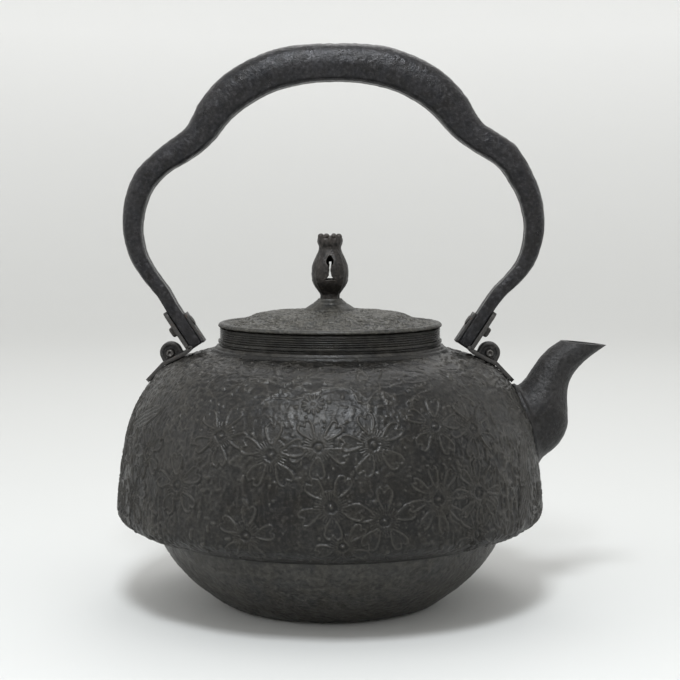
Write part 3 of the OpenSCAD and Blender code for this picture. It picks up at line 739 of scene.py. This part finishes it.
def on_leg(s, out):
    """A point s up the handle's leg and out from its outer face."""
    return (bend_x + math.cos(leg_angle) * s + math.sin(leg_angle) * out,
            bend_z + math.sin(leg_angle) * s - math.cos(leg_angle) * out)


def thicken(piece, thickness, edge_mm, even=False):
    """Gives a sheet its thickness, half to each side, and breaks its sharp edges."""
    thick = piece.modifiers.new("thickness", "SOLIDIFY")
    thick.thickness, thick.offset = thickness * MM, 0
    thick.use_even_offset = even
    edge = piece.modifiers.new("edges", "BEVEL")
    edge.width, edge.segments = edge_mm * MM, 2
    edge.limit_method, edge.angle_limit = "ANGLE", math.radians(50)
    return piece


def strap_piece(side):
    """One strap: a ribbon bent along its line, with the slot left out, then thickened."""
    half = strap_t / 2
    top, bend = on_leg(strap_up, half), on_leg(2.6, half)
    low_bend = (bend_x + 2.6, bend_z + touch_slope * 2.6 + half * 1.12)
    turn = (turn_x, turn_z + half * 1.14)
    end = (end_x, end_z + half * 1.25)
    knee = (bend_x + 0.75, bend_z + 0.62 + half)
    before = (turn_x - 1.2, turn_z + 1.2 * -touch_slope + half * 1.12)
    after = (turn_x + 1.2, turn[1] + (end[1] - turn[1]) * 0.17)
    line = outline(([top, bend], 0.3), ([bend, knee, low_bend], 0.2), ([low_bend, before], 0.3),
                   ([before, turn, after], 0.25), ([after, end], 0.3))
    run = run_along(line)
    across = np.linspace(-1, 1, 41)
    n = len(across)
    # Ends are rounded: the width closes in over the last two millimetres.
    close = np.minimum(run, run[-1] - run)
    rounding = np.clip(1 - close / 2.4, 0, 1) ** 2 * 0.62
    width = (strap_w / 2 - 0.1) * np.sqrt(np.clip(1 - rounding, 0, 1))
    y = (width[:, None] * across[None, :]).ravel()
    x, z = np.repeat(line[:, 0], n), np.repeat(line[:, 1], n)
    points = np.column_stack([x, y, z])
    points[:, 1] += 0.1 * grain(points, 3, 61) * (np.abs(y) > 4)
    quads = grid_quads(len(line), n, closed=False)
    centre = points[quads].mean(axis=1)
    low_leg = run[np.repeat(np.arange(len(line) - 1), n - 1)] > strap_up + 1
    slot = (low_leg & (np.abs(centre[:, 1]) < lug_t / 2 + 0.3)
            & (np.abs(centre[:, 0] - lug_x + 0.6) < (lug_r + 0.3) * 0.93))
    points = points * (side, side, 1)
    piece = lay_mesh("strap_%s_forged" % name_of[side], points, quads[~slot],
                     high=np.clip(np.abs(y) - strap_w / 2 + 1.3, 0, 1) * 0.7)
    return thicken(piece, strap_t - 0.05, 0.32, even=True)


strap_iron = iron("strap_iron", (0.01, 0.0098, 0.0095), (0.07, 0.066, 0.062), (0.36, 0.56), 0.5,
                  0.05, patch_mm=7, rust=0.1, metal=0.45, pits=0.08, edge=0.6)
for side in (1, -1):
    finish_piece(strap_piece(side), strap_iron, "kettle", "strap_iron", "strap_" + name_of[side])


# ---- Rivets -------------------------------------------------------------------------
# One rivet holds each strap to the handle. Its head was struck squarish from a bar and
# its tail was hammered flat inside the hollow leg.

rivet_s, rivet_head, rivet_tall, rivet_r = 11.2, 4.5, 2.4, 1.5
leg_t = 5.4
back_t = 1.2


def rivet(side):
    """One rivet: stacked loops, square at the head and round at the shank and tail."""
    n = 48
    turn = np.arange(n) * 2 * np.pi / n
    power = 5
    square = 1 / (np.abs(np.cos(turn)) ** power + np.abs(np.sin(turn)) ** power) ** (1 / power)
    h = rivet_head / 2
    tail = -leg_t - back_t
    # Each loop: distance along the rivet, reach, and how square it is.
    loops = [(strap_t + rivet_tall - 0.12, 0.04, 1), (strap_t + rivet_tall - 0.14, h * 0.5, 1),
             (strap_t + rivet_tall - 0.3, h * 0.8, 1), (strap_t + rivet_tall - 0.75, h * 0.96, 1),
             (strap_t + 1.1, h, 1), (strap_t + 0.3, h * 0.98, 1), (strap_t, h * 0.92, 1),
             (strap_t, rivet_r, 0), (tail, rivet_r, 0), (tail, rivet_r + 1, 0),
             (tail - 0.3, rivet_r + 0.95, 0), (tail - 0.7, rivet_r + 0.3, 0), (tail - 0.78, 0.04, 0)]
    rings = []
    for out, reach, blocky in loops:
        radius = reach * (square * blocky + 1 - blocky)
        u, y = radius * np.cos(turn), radius * np.sin(turn)
        c, s = math.cos(leg_angle), math.sin(leg_angle)
        rings.append(np.column_stack([bend_x + c * (rivet_s + u) + s * out, y,
                                      bend_z + s * (rivet_s + u) - c * out]))
    points = np.concatenate(rings)
    lumps = np.column_stack([grain(points, 1.6, seed) for seed in (71, 72, 73)])
    points = (points + 0.1 * lumps) * (side, side, 1)
    quads = grid_quads(len(rings), n)[:, ::-1]
    caps = [np.arange(n)[::-1], np.arange(n) + (len(rings) - 1) * n]
    return rounded(lay_mesh("strap_rivet_%s_forged" % name_of[side], points, quads, caps,
                            high=np.full(len(points), 0.45)))


rivet_iron = iron("rivet_iron", (0.011, 0.0105, 0.01), (0.08, 0.075, 0.07), (0.34, 0.52), 0.45,
                  0.05, patch_mm=3, rust=0.05, metal=0.5, edge=0.7)
for side in (1, -1):
    finish_piece(rivet(side), rivet_iron, "kettle", "strap_iron", "strap_rivet_" + name_of[side])


# ---- Back plates --------------------------------------------------------------------
# A small cut plate behind each leg end. It closes the open side of the hollow leg and
# gives the rivet's tail something to be hammered against.

plate_w, plate_long = 8.6, rivet_s + 3.4
plate_foot = 0.75


def back_plate(side):
    """One plate: a rounded rectangle with a slightly uneven cut edge, then thickened."""
    nu, nv = 40, 26
    u, v = np.meshgrid(np.linspace(-1, 1, nu), np.linspace(-1, 1, nv), indexing="ij")
    u, v = u.ravel(), v.ravel()
    round_off = np.clip(np.abs(u) - 0.86, 0, 1) / 0.14
    y = v * (plate_w / 2 - 0.05) * np.sqrt(np.clip(1 - 0.12 * round_off ** 2, 0, 1))
    s = plate_foot + (u + 1) / 2 * (plate_long - 0.1)
    out = -leg_t - back_t / 2
    c, k = math.cos(leg_angle), math.sin(leg_angle)
    points = np.column_stack([bend_x + c * s + k * out, y, bend_z + k * s - c * out])
    edge_zone = np.maximum(np.abs(u), np.abs(v)) > 0.97
    points[:, 1] *= 1 - 0.03 * edge_zone * (0.5 + 0.5 * grain(points, 1.5, 75))
    quads = grid_quads(nu, nv, closed=False)
    centre = points[quads].mean(axis=1)
    s_centre = plate_foot + (u[quads].mean(axis=1) + 1) / 2 * (plate_long - 0.1)
    hole = np.hypot(s_centre - rivet_s, centre[:, 1]) < rivet_r - 0.1
    piece = lay_mesh("back_plate_%s_cut" % name_of[side], points * (side, side, 1), quads[~hole],
                     high=edge_zone * 0.7)
    return thicken(piece, back_t - 0.05, 0.2)


plate_iron = iron("plate_iron", (0.01, 0.01, 0.0105), (0.06, 0.057, 0.055), (0.4, 0.58), 0.6,
                  0.05, patch_mm=6, rust=0.4, metal=0.45, pits=0.06, edge=0.6)
for side in (1, -1):
    finish_piece(back_plate(side), plate_iron, "kettle", "forged_iron",
                 "back_plate_" + name_of[side])


# ---- Handle -------------------------------------------------------------------------
# The bail is sheet iron folded round into a hollow bar, with its seam along the flat inner
# face. It was hammered hot over a former, so its skin is dimpled and faintly blue.

# The sections below are drawn for a bail of this rise and span, and brought to size by these.
drawn_rise, drawn_span, made_span = 127, 177.6, 176.4
across_scale = made_span / drawn_span
up_scale = (box_mm("handle")[1][2] - body_top) / drawn_rise
handle_shift, handle_sway, handle_tilt = 1.5, 2.4, 0.012
bar_w, bar_wall, seam_gap = 15.6, 2.0, 0.7
# Outer edge out and up, inner edge out and up, share of the crown's width, flatness.
handle_steps = [(73.6, 21.5, 68.4, 24.6, 0.71, 0.6), (78.4, 26.2, 72.6, 29.6, 0.72, 0.3),
                (82.8, 31.5, 76.2, 34.4, 0.73, 0.1), (86.1, 37, 78.7, 39.3, 0.74, 0),
                (88.4, 44.2, 80.1, 45, 0.75, 0), (89.3, 51.8, 80.5, 51.4, 0.76, 0),
                (88.6, 60.5, 79.1, 58.9, 0.78, 0), (86.5, 68, 76.8, 64.8, 0.8, 0),
                (83.4, 74.3, 73.7, 69.5, 0.82, 0), (79.1, 80, 69.8, 73.9, 0.84, 0),
                (73.6, 85.5, 64.3, 77.7, 0.86, 0), (67.5, 89.6, 57, 82.3, 0.88, 0),
                (62.6, 93.3, 51, 87.1, 0.9, 0), (60, 97, 47.2, 91.2, 0.92, 0),
                (56.2, 103.9, 43, 95.9, 0.95, 0), (48.7, 112.3, 37.8, 100.3, 0.98, 0),
                (40.6, 118.1, 32.9, 103.4, 1, 0), (31.8, 122.3, 26.9, 106.5, 1, 0),
                (22.4, 125.4, 19.2, 108.9, 1, 0), (11.4, 126.7, 10, 110.6, 1, 0),
                (0, 127, 0, 111.1, 1, 0)]


def leg_step(s):
    """The bar's section s up the straight leg."""
    return (*on_leg(s, 0), *on_leg(s, -leg_t), 0.69, 1)


def sway(h):
    """How far the bail leans towards the spout, h above the body: most at its shoulders."""
    return (handle_shift * min(1, max(0, (h - 18) / 12))
            + handle_sway * math.exp(-(h - 86) ** 2 / 56))


def arch_z(x, h, side):
    """Height of a point of the bail, whose crown rises a little towards the spout."""
    return body_top + h * up_scale + side * handle_tilt * x * min(1, max(0, (h - 85) / 15))


def bar_side(side):
    """Sections of one half of the bar, from the leg's end to the crown."""
    legs = [leg_step(s) for s in (0.9, 6, rivet_s + 3.4, strap_up)]
    arch = []
    for a, b, c, d, w, f in handle_steps:
        lean = side * sway(min(b, d + 10))
        arch.append((a * across_scale + lean, arch_z(a, b, side),
                     c * across_scale + lean, arch_z(c, d, side), w, f))
    return np.vstack([curve(legs, 1.2)[:-1], curve([legs[-1]] + arch, 0.5)])


right_half, left_half = bar_side(1), bar_side(-1)
left_half[:, [0, 2]] *= -1
bar_steps = np.vstack([right_half, left_half[-2::-1]])
bar_round = [(-0.5, 0.6), (-0.42, 0.86), (-0.25, 0.965), (-0.02, 1), (0.28, 0.84),
             (0.44, 0.5), (0.5, 0)]
bar_flat = [(-0.5, 0.8), (-0.46, 0.93), (-0.25, 0.985), (-0.02, 1), (0.42, 0.96),
            (0.48, 0.8), (0.5, 0)]


def bar_section(t, w, seam, flat_share):
    """Points round the bar's face or its hollow, from one side of the seam to the other."""
    half = [(a[0] * (1 - flat_share) + b[0] * flat_share,
             a[1] * (1 - flat_share) + b[1] * flat_share) for a, b in zip(bar_round, bar_flat)]
    arc = curve(half, 0.062)
    face = np.column_stack([arc[:, 0] * t, arc[:, 1] * w / 2])
    edge_in = np.linspace(seam, face[0, 1], 9)[:-1]
    face = np.vstack([np.column_stack([np.full(8, -t / 2), edge_in]), face])
    return np.vstack([face, face[-2::-1] * (1, -1)])


def bar_rings():
    """Rings along the bail, each the bar's face and then its hollow, all of one length."""
    rings = []
    for ox, oz, ix, iz, share, flatness in bar_steps:
        t = math.hypot(ox - ix, oz - iz)
        direct = np.array([ox - ix, oz - iz]) / t
        w = bar_w * share
        wall = bar_wall * (1 - flatness) + (t / 2 - 0.5) * flatness
        face = bar_section(t, w, seam_gap / 2, flatness)
        hollow = bar_section(t - 2 * wall, w - 2 * wall, seam_gap / 2, flatness)[::-1]
        ring = np.vstack([face, hollow])
        middle = np.array([(ox + ix) / 2, (oz + iz) / 2])
        rings.append(np.column_stack([middle[0] + direct[0] * ring[:, 0], ring[:, 1],
                                      middle[1] + direct[1] * ring[:, 0]]))
    columns = min(len(ring) for ring in rings)
    return np.array([
        ring if len(ring) == columns
        else ring[np.round(np.linspace(0, len(ring) - 1, columns)).astype(int)]
        for ring in rings])


def end_faces(count, columns):
    """Faces that close the bar's wall at its two ends, between the face and the hollow."""
    face_count = columns // 2
    quads = []
    for row, flip in ((0, True), (count - 1, False)):
        base = row * columns
        for q in range(face_count - 1):
            a, b = base + q, base + q + 1
            c, d = base + columns - 2 - q, base + columns - 1 - q
            quads.append([d, c, b, a] if flip else [a, b, c, d])
    return quads


def bail():
    """The handle: hammer dents over its face and a ragged seam along its inner side."""
    rings = bar_rings()
    count, columns = rings.shape[:2]
    face_count = columns // 2
    inward = rings.mean(axis=1, keepdims=True) - rings
    inward /= np.linalg.norm(inward, axis=2, keepdims=True) + 1e-6
    p = rings.reshape(-1, 3)
    dents = np.clip(0.7 * grain(p, 2.6, 81) + 0.35 * grain(p, 6.5, 82), -0.2, 1)
    skin_depth = 0.17 + 0.15 * dents + 0.09 * grain(p, 1.3, 83)
    on_face = np.tile(np.arange(columns) < face_count, count)
    depth = np.where(on_face, np.clip(skin_depth, 0.0, 0.45), 0)
    p = p + inward.reshape(-1, 3) * depth[:, None]
    seam_edge = np.zeros(columns, bool)
    seam_edge[[0, 1, face_count - 2, face_count - 1, face_count, columns - 1]] = True
    ragged = np.tile(seam_edge, count) * np.sign(p[:, 1] + 1e-9)
    p[:, 1] += ragged * (0.12 + 0.14 * grain(p * (1, 0, 1), 2.4, 84))
    quads = np.vstack([grid_quads(count, columns, flip=True), end_faces(count, columns)])
    pale_share = np.where(on_face, 0.3 - 1.5 * (skin_depth - 0.17) + 0.5 * np.tile(seam_edge, count),
                    0.1)
    return lay_mesh("handle_bail", p, quads, high=pale_share)


handle_iron = iron("handle_iron", (0.0042, 0.0042, 0.0049), (0.044, 0.042, 0.045), (0.25, 0.44), 0.9,
                   0.24, patch_mm=14, metal=0.35, pits=0.1, edge=0.45, gloss=0.38)
finish_piece(bail(), handle_iron, "kettle", "forged_iron", "handle")


# ---- Lid ----------------------------------------------------------------------------
# A thin cast lid with a rolled rim, a low crinkled dome and a pointed boss. A short flange
# under it drops into the mouth.

lid_low, lid_high = box_mm("lid")
lid_r = lid_high[0]
lid_z = neck_top
boss_top = lid_high[2]
flange_r = mouth_r - 0.4
web_z = lid_z + 5.1
pin_bore = 2.08
dome_first = [(11.2, boss_top - 4.6), (lid_r * 0.32, lid_z + 7.6), (lid_r * 0.4, lid_z + 7.25),
              (lid_r * 0.57, lid_z + 6.7), (lid_r * 0.66, lid_z + 5.9), (lid_r * 0.745, lid_z + 4.35),
              (lid_r * 0.87, lid_z + 2.2), (lid_r - 3.5, lid_z + 1.7)]
lid_line = outline(
    ([(pin_bore, web_z), (pin_bore, boss_top)], 0.8),
    ([(pin_bore, boss_top), (4.9, boss_top)], 0.3),
    ([(4.9, boss_top), (5.2, boss_top - 0.25), (5.3, boss_top - 0.5)], 0.12),
    ([(5.3, boss_top - 0.5), (7, boss_top - 1.85)], 0.15),
    ([(7, boss_top - 1.85), (7.15, boss_top - 2.15), (7.5, boss_top - 2.2)], 0.1),
    ([(7.5, boss_top - 2.2), (11.2, boss_top - 4.6)], 0.15),
    (dome_first, 0.2),
    ([(lid_r - 3.5, lid_z + 1.7), (lid_r - 3.1, lid_z + 1.75), (lid_r - 2.6, lid_z + 2.15),
      (lid_r - 1.7, lid_z + 2.32), (lid_r - 0.8, lid_z + 2.2), (lid_r - 0.1, lid_z + 1.5),
      (lid_r, lid_z + 1.05), (lid_r - 0.05, lid_z + 0.7), (lid_r - 0.5, lid_z + 0.4)], 0.15),
    ([(lid_r - 0.5, lid_z + 0.4), (lid_r - 2, lid_z + 0.35)], 0.3),
    ([(lid_r - 2, lid_z + 0.35), (lid_r - 2.4, lid_z)], 0.2),
    ([(lid_r - 2.4, lid_z), (flange_r, lid_z)], 0.6),
    ([(flange_r, lid_z), (flange_r, lid_low[2])], 0.5),
    ([(flange_r, lid_low[2]), (flange_r - 2.2, lid_low[2])], 0.5),
    ([(flange_r - 2.2, lid_low[2]), (flange_r - 2.2, lid_z + 0.5)], 0.6),
    ([(flange_r - 2.2, lid_z + 0.5), (flange_r * 0.72, lid_z + 3.8), (flange_r * 0.46, lid_z + 4.9),
      (8, web_z), (pin_bore, web_z)], 1.0),
)


def crinkle(a, r, z):
    """The lid's crepe skin: small sharp creases on the dome, smoother on rim and boss."""
    q = round_axis(a, r, z)
    warp = 0.7 * np.column_stack([grain(q, 3.2, s) for s in (91, 92, 93)])
    fold = 1 - np.abs(grain(q + warp, 1.9, 94) + 0.45 * grain(q, 1.0, 95))
    outer = (z > lid_z + 0.2) & (r > 5)
    dome = np.clip((r - 10.5) / 2, 0, 1) * np.clip((lid_r - 3.0 - r) / 1.5, 0.2, 1) * outer
    swell = 0.3 * (1 + grain(q, 5, 97)) * dome
    depth = (0.55 * dome * (1 - np.clip(fold, 0, 1) ** 2) + swell
             + 0.08 * outer * (1 + grain(q, 1.1, 96)) / 2)
    return depth, np.where(outer, np.clip(fold, 0, 1) ** 3 * (0.35 + 0.4 * dome), 0.1)


lid_iron = iron("lid_iron", (0.011, 0.0107, 0.0093), (0.092, 0.088, 0.074), (0.38, 0.58), 0.7,
                0.12, patch_mm=16, metal=0.3, edge=0.7)
lid = turned("lid_casting", lid_line, 900, crinkle, ends=False)
finish_piece(lid, lid_iron, "lid_body", "lid_iron", "lid")


# ---- Washer -------------------------------------------------------------------------
# A small cut washer under the lid. The knob's pin is peened over it, a little loosely.

washer_low, washer_high = box_mm("knob_washer")
washer_r = washer_high[0]
washer_line = outline(
    ([(pin_bore, washer_low[2]), (pin_bore, washer_high[2])], 0.3),
    ([(pin_bore, washer_high[2]), (washer_r - 0.25, washer_high[2])], 0.4),
    ([(washer_r - 0.25, washer_high[2]), (washer_r, washer_high[2] - 0.25)], 0.1),
    ([(washer_r, washer_high[2] - 0.25), (washer_r, washer_low[2] + 0.2)], 0.2),
    ([(washer_r, washer_low[2] + 0.2), (washer_r - 0.2, washer_low[2])], 0.1),
    ([(washer_r - 0.2, washer_low[2]), (pin_bore, washer_low[2])], 0.4),
)


def cut_edge(a, r, z):
    """A slightly uneven sheared rim."""
    q = round_axis(a, r, z)
    rim = np.clip((r - washer_r + 1) / 1, 0, 1)
    return 0.12 * rim * (0.5 + 0.5 * grain(q, 1.4, 101)), 0.5 * rim


washer_iron = iron("washer_iron", (0.03, 0.027, 0.024), (0.16, 0.15, 0.135), (0.35, 0.55), 0.4,
                   0.04, patch_mm=3, rust=0.5, metal=0.6, edge=0.6)
washer = turned("knob_washer_cut", washer_line, 160, cut_edge, ends=False)
finish_piece(washer, washer_iron, "lid_body", "forged_iron", "knob_washer")


# ---- Knob pin -----------------------------------------------------------------------
# An iron pin down through the knob's stem and the lid. Its upper head is domed and seats in
# the bud's floor, and its lower end is hammered into a mushroom.

pin_low, pin_high = box_mm("knob_pin")
stem_r = 2.0
head_z = pin_high[2] - 0.7
knob_pin_line = outline(
    ([(0.05, pin_high[2]), (1.0, pin_high[2] - 0.02), (stem_r - 0.2, pin_high[2] - 0.12)], 0.2),
    ([(stem_r - 0.2, pin_high[2] - 0.12), (stem_r + 0.3, head_z + 0.2), (stem_r + 0.45, head_z)], 0.15),
    ([(stem_r + 0.45, head_z), (stem_r, head_z)], 0.2),
    ([(stem_r, head_z), (stem_r, pin_low[2] + 1.25)], 0.5),
    ([(stem_r, pin_low[2] + 1.25), (stem_r + 1.25, pin_low[2] + 1.2), (stem_r + 1.0, pin_low[2] + 0.5),
      (stem_r + 0.2, pin_low[2] + 0.08), (0.05, pin_low[2] + 0.02)], 0.15),
)


def hammered_end(a, r, z):
    """Hammer flats on the pin's two heads."""
    q = round_axis(a, r, z)
    tail = z < pin_low[2] + 1.2
    return 0.14 * tail * (0.5 + 0.5 * grain(q, 1.3, 111)), 0.3 + 0.3 * tail


knob_pin_iron = iron("knob_pin_iron", (0.025, 0.024, 0.023), (0.17, 0.16, 0.15), (0.3, 0.5), 0.4,
                     0.03, patch_mm=3, rust=0.3, metal=0.65, edge=0.6)
knob_pin = turned("knob_pin_forged", knob_pin_line, 96, hammered_end)
finish_piece(knob_pin, knob_pin_iron, "knob_body", "forged_iron", "knob_pin")


# ---- Knob ---------------------------------------------------------------------------
# A pierced bud, cast hollow over a core: lobed sides with keyhole openings between the
# lobes, a waisted neck and a scalloped crown ringed with beads.

knob_low, knob_high = box_mm("knob")
knob_r = knob_high[0]
knob_z = knob_low[2]
knob_h = 27.6
knob_wall = 1.5
lobes = 4
hole_up, hole_r = 15.8, 1.85
slit_low = 9.4
notch_low, notch_top = 7.9, 10.4
bud_shape = [(0.54, 0.0), (0.54, 0.06), (0.7, 0.13), (0.89, 0.21), (0.985, 0.29), (1, 0.37),
             (0.985, 0.47), (0.92, 0.555), (0.79, 0.635), (0.67, 0.7), (0.61, 0.75)]
crown_shape = [(0.61, 0.75), (0.61, 0.79), (0.66, 0.83), (0.69, 0.87), (0.675, 0.91), (0.62, 0.94)]
knob_columns = 520
# Rows from the top that stay whole, round the crown.
crown_rows = 30


def bud_rows(points, step):
    """A run of the bud's profile from top to bottom, from shares of its radius and height."""
    return curve([(r * knob_r, knob_z + h * knob_h) for r, h in points], step)[::-1]


def lobe(a, height, strength):
    """How far the surface falls in between the bud's lobes."""
    swell = np.clip(np.sin(np.clip((height - 0.05) / 0.72, 0, 1) * np.pi), 0, 1)
    return strength * swell * (0.5 + 0.5 * np.cos(lobes * (a + np.pi / 2))) ** 2


def keyhole(a, height):
    """Which points fall in an opening: a pear-shaped hole, a slit and a notch under it."""
    off = np.mod(a + np.pi / 2 + np.pi / lobes, 2 * np.pi / lobes) - np.pi / lobes
    across = off * knob_r * 0.95
    up = height * knob_h
    # The round hole is left out at the back, which has only the slit and the notch.
    behind = np.sin(a) > 0.7
    hole = (np.hypot(across, (up - hole_up) * np.where(up > hole_up, 0.72, 1)) < hole_r) & ~behind
    slit = (np.abs(across + 0.04 * (up - 12)) < 0.48) & (up > slit_low) & (up < hole_up)
    notch = np.abs(across) < 2.3 * np.clip((notch_top - up) / (notch_top - notch_low), 0, 1)
    return hole | slit | (notch & (up > notch_low))


def bud_skin():
    """The bud: lobes, ridges and scallops on its skin, with the openings left out."""
    crown_top = [(0.32 * knob_r, knob_z + 0.86 * knob_h), (0.33 * knob_r, knob_z + 0.945 * knob_h),
                 (0.5 * knob_r, knob_z + 0.955 * knob_h), (0.62 * knob_r, knob_z + 0.94 * knob_h)]
    line = np.vstack([curve(crown_top, 0.16)[:-1], bud_rows(crown_shape, 0.14)[:-1],
                      bud_rows(bud_shape, 0.14)])
    angle = np.arange(knob_columns) * 2 * np.pi / knob_columns
    n = len(line)
    a = np.tile(angle, n)
    r, z = np.repeat(line[:, 0], knob_columns), np.repeat(line[:, 1], knob_columns)
    height = (z - knob_z) / knob_h
    q = round_axis(a, r, z)
    crown = np.clip((height - 0.8) / 0.08, 0, 1) * (r > 0.45 * knob_r)
    scallop = 0.35 * crown * (0.5 - 0.5 * np.cos(12 * a))
    seam = np.mod(a, 2 * np.pi / lobes) - np.pi / lobes
    ridge = 0.22 * np.exp(-(seam * r / 0.42) ** 2) * np.clip((0.74 - height) / 0.1, 0, 1)
    depth = (0.26 + lobe(a, height, 0.14) + scallop - ridge + 0.07 * grain(q, 1.2, 121)
             + 0.05 * grain(q, 0.6, 122))
    r = r - depth
    points = round_axis(a, r, z)
    quads = grid_quads(n, knob_columns)
    middle = points[quads].mean(axis=1)
    open_face = keyhole(np.arctan2(middle[:, 1], middle[:, 0]), (middle[:, 2] - knob_z) / knob_h)
    open_face &= np.repeat(np.arange(n - 1), knob_columns) > crown_rows
    pale_share = 0.35 + 0.3 * grain(q, 1.5, 123) + 0.3 * crown - 0.5 * lobe(a, height, 1)
    piece = lay_mesh("knob_bud", points, quads[~open_face], high=pale_share)
    thick = piece.modifiers.new("wall", "SOLIDIFY")
    thick.thickness, thick.offset = knob_wall * MM, -1
    return piece


knob_iron = iron("knob_iron", (0.0046, 0.0038, 0.0035), (0.05, 0.042, 0.036), (0.32, 0.52), 0.6,
                 0.16, patch_mm=5, metal=0.3, pits=0.12, edge=0.55, gloss=0.4)
finish_piece(bud_skin(), knob_iron, "knob_body", "knob_iron", "knob")


def bead_ring(count, ring_r, z, bead_r):
    """Cast beads standing on the crown, as one piece: squashed balls, each a little uneven."""
    nu, nv = 24, 14
    points, quads = [], []
    ball_quads = grid_quads(nv, nu)
    for b in range(count):
        angle = 2 * np.pi * (b + 0.5) / count
        centre = np.array([ring_r * math.cos(angle), ring_r * math.sin(angle), z])
        up = np.linspace(0.02, np.pi - 0.02, nv)
        around = np.arange(nu) * 2 * np.pi / nu
        uu, aa = np.meshgrid(up, around, indexing="ij")
        ball = np.column_stack([(np.sin(uu) * np.cos(aa)).ravel(), (np.sin(uu) * np.sin(aa)).ravel(),
                                0.9 * np.cos(uu).ravel()])
        size = bead_r * (1 + 0.12 * grain(ball * 1.7 + b * 7.3, 1.0, 131))[:, None]
        base = b * nu * nv
        points.append(centre + ball * size)
        quads.append(base + ball_quads)
    return lay_mesh("knob_beads", np.concatenate(points), np.concatenate(quads),
                    high=np.full(count * nu * nv, 0.75))


beads = bead_ring(8, 0.5 * knob_r, knob_z + 0.945 * knob_h, 1.25)
finish_piece(beads, knob_iron, "knob_body", "knob_iron")
floor_line = outline(
    ([(2.0, knob_z + 0.09 * knob_h), (4.2, knob_z + 0.095 * knob_h)], 0.4),
    ([(4.2, knob_z + 0.095 * knob_h), (0.5 * knob_r, knob_z + 0.02 * knob_h)], 0.4),
    ([(0.5 * knob_r, knob_z + 0.02 * knob_h), (2.0, knob_z)], 0.4),
)
bud_floor = turned("knob_floor", floor_line, 96, None, ends=False)
finish_piece(bud_floor, knob_iron, "knob_body", "knob_iron")


# ---- Studio -------------------------------------------------------------------------
# A pale sheet under and all round the kettle, a soft lamp over its front, a wide one off to
# each side, one high behind, and the camera a little above the lid, looking slightly down.

floor_flat, sweep_r, sweep_up = 1.3, 1.5, 0.1


def sweep():
    """A round pale floor whose edge curves up all round, so that no horizon shows."""
    arc = np.linspace(0, np.pi / 2, 17)
    line = np.vstack([[(0.0001, 0), (0.5, 0), (1.0, 0)],
                      np.column_stack([floor_flat + sweep_r * np.sin(arc), sweep_r * (1 - np.cos(arc))]),
                      [(floor_flat + sweep_r, sweep_r + sweep_up)]]) / MM
    return turned("floor_sheet", line[::-1], 96, None)


def floor_paper_painted_shade():
    """Matt paper, painted darker flat on the floor than where it curves up: painted shade, in place of
    the lesser light on the floor.
    """
    material = bpy.data.materials.new("floor_paper_painted_shade")
    material.use_nodes = True
    nodes, links = material.node_tree.nodes, material.node_tree.links
    shader = nodes["Principled BSDF"]
    shader.inputs["Roughness"].default_value = 0.8
    place = nodes.new("ShaderNodeTexCoord")
    axes = nodes.new("ShaderNodeSeparateXYZ")
    height = nodes.new("ShaderNodeMapRange")
    height.inputs["From Max"].default_value = 0.5
    tone = nodes.new("ShaderNodeMix")
    tone.data_type = "RGBA"
    # Painted shade: the flat floor's colour (A) is darker than the sweep's (B), for less light falling
    # on the floor.
    tone.inputs["A"].default_value = (0.565, 0.57, 0.56, 1)
    tone.inputs["B"].default_value = (0.84, 0.845, 0.84, 1)
    links.new(place.outputs["Object"], axes.inputs["Vector"])
    links.new(axes.outputs["Z"], height.inputs["Value"])
    links.new(height.outputs["Result"], tone.inputs["Factor"])
    links.new(tone.outputs["Result"], shader.inputs["Base Color"])
    return material


floor_sheet = sweep()
floor_sheet.data.materials.append(floor_paper_painted_shade())

world = bpy.data.worlds.new("studio")
world.use_nodes = True
world.node_tree.nodes["Background"].inputs["Color"].default_value = (1.0, 0.995, 0.98, 1)
world.node_tree.nodes["Background"].inputs["Strength"].default_value = 1.0
bpy.context.scene.world = world
bpy.context.scene.view_settings.view_transform = "Standard"


def lamp(name, place, aim, size, power, colour=(1, 1, 1)):
    """A square soft lamp at place, in metres, turned towards aim."""
    data = bpy.data.lights.new(name, "AREA")
    data.shape, data.size, data.energy, data.color = "SQUARE", size, power, colour
    holder = bpy.data.objects.new(name, data)
    holder.location = place
    holder.rotation_mode = "QUATERNION"
    holder.rotation_quaternion = (Vector(place) - Vector(aim)).to_track_quat("Z", "Y")
    bpy.context.scene.collection.objects.link(holder)


aim_at = (0, 0, 0.09)
lamp("over_front", (-0.05, -0.55, 0.87), aim_at, 0.2, 7.4, (0.92, 0.96, 1.0))
lamp("left_window", (-2.1, -0.5, 0.75), aim_at, 1.4, 10.0)
lamp("right_fill", (2.1, 0.3, 0.75), aim_at, 1.0, 4.0)
lamp("ceiling", (0.1, 0.8, 1.2), aim_at, 0.7, 3.0)

camera_far, camera_up, camera_pitch = 0.644, 0.1664, 5
camera_data = bpy.data.cameras.new("camera")
camera_data.sensor_width = 36
camera_data.lens = 81
camera_data.clip_start = 0.01
camera = bpy.data.objects.new("camera", camera_data)
camera.location = (0.0042, -camera_far, camera_up)
camera.rotation_euler = (math.radians(90 - camera_pitch), 0, 0)
bpy.context.scene.collection.objects.link(camera)
bpy.context.scene.camera = camera
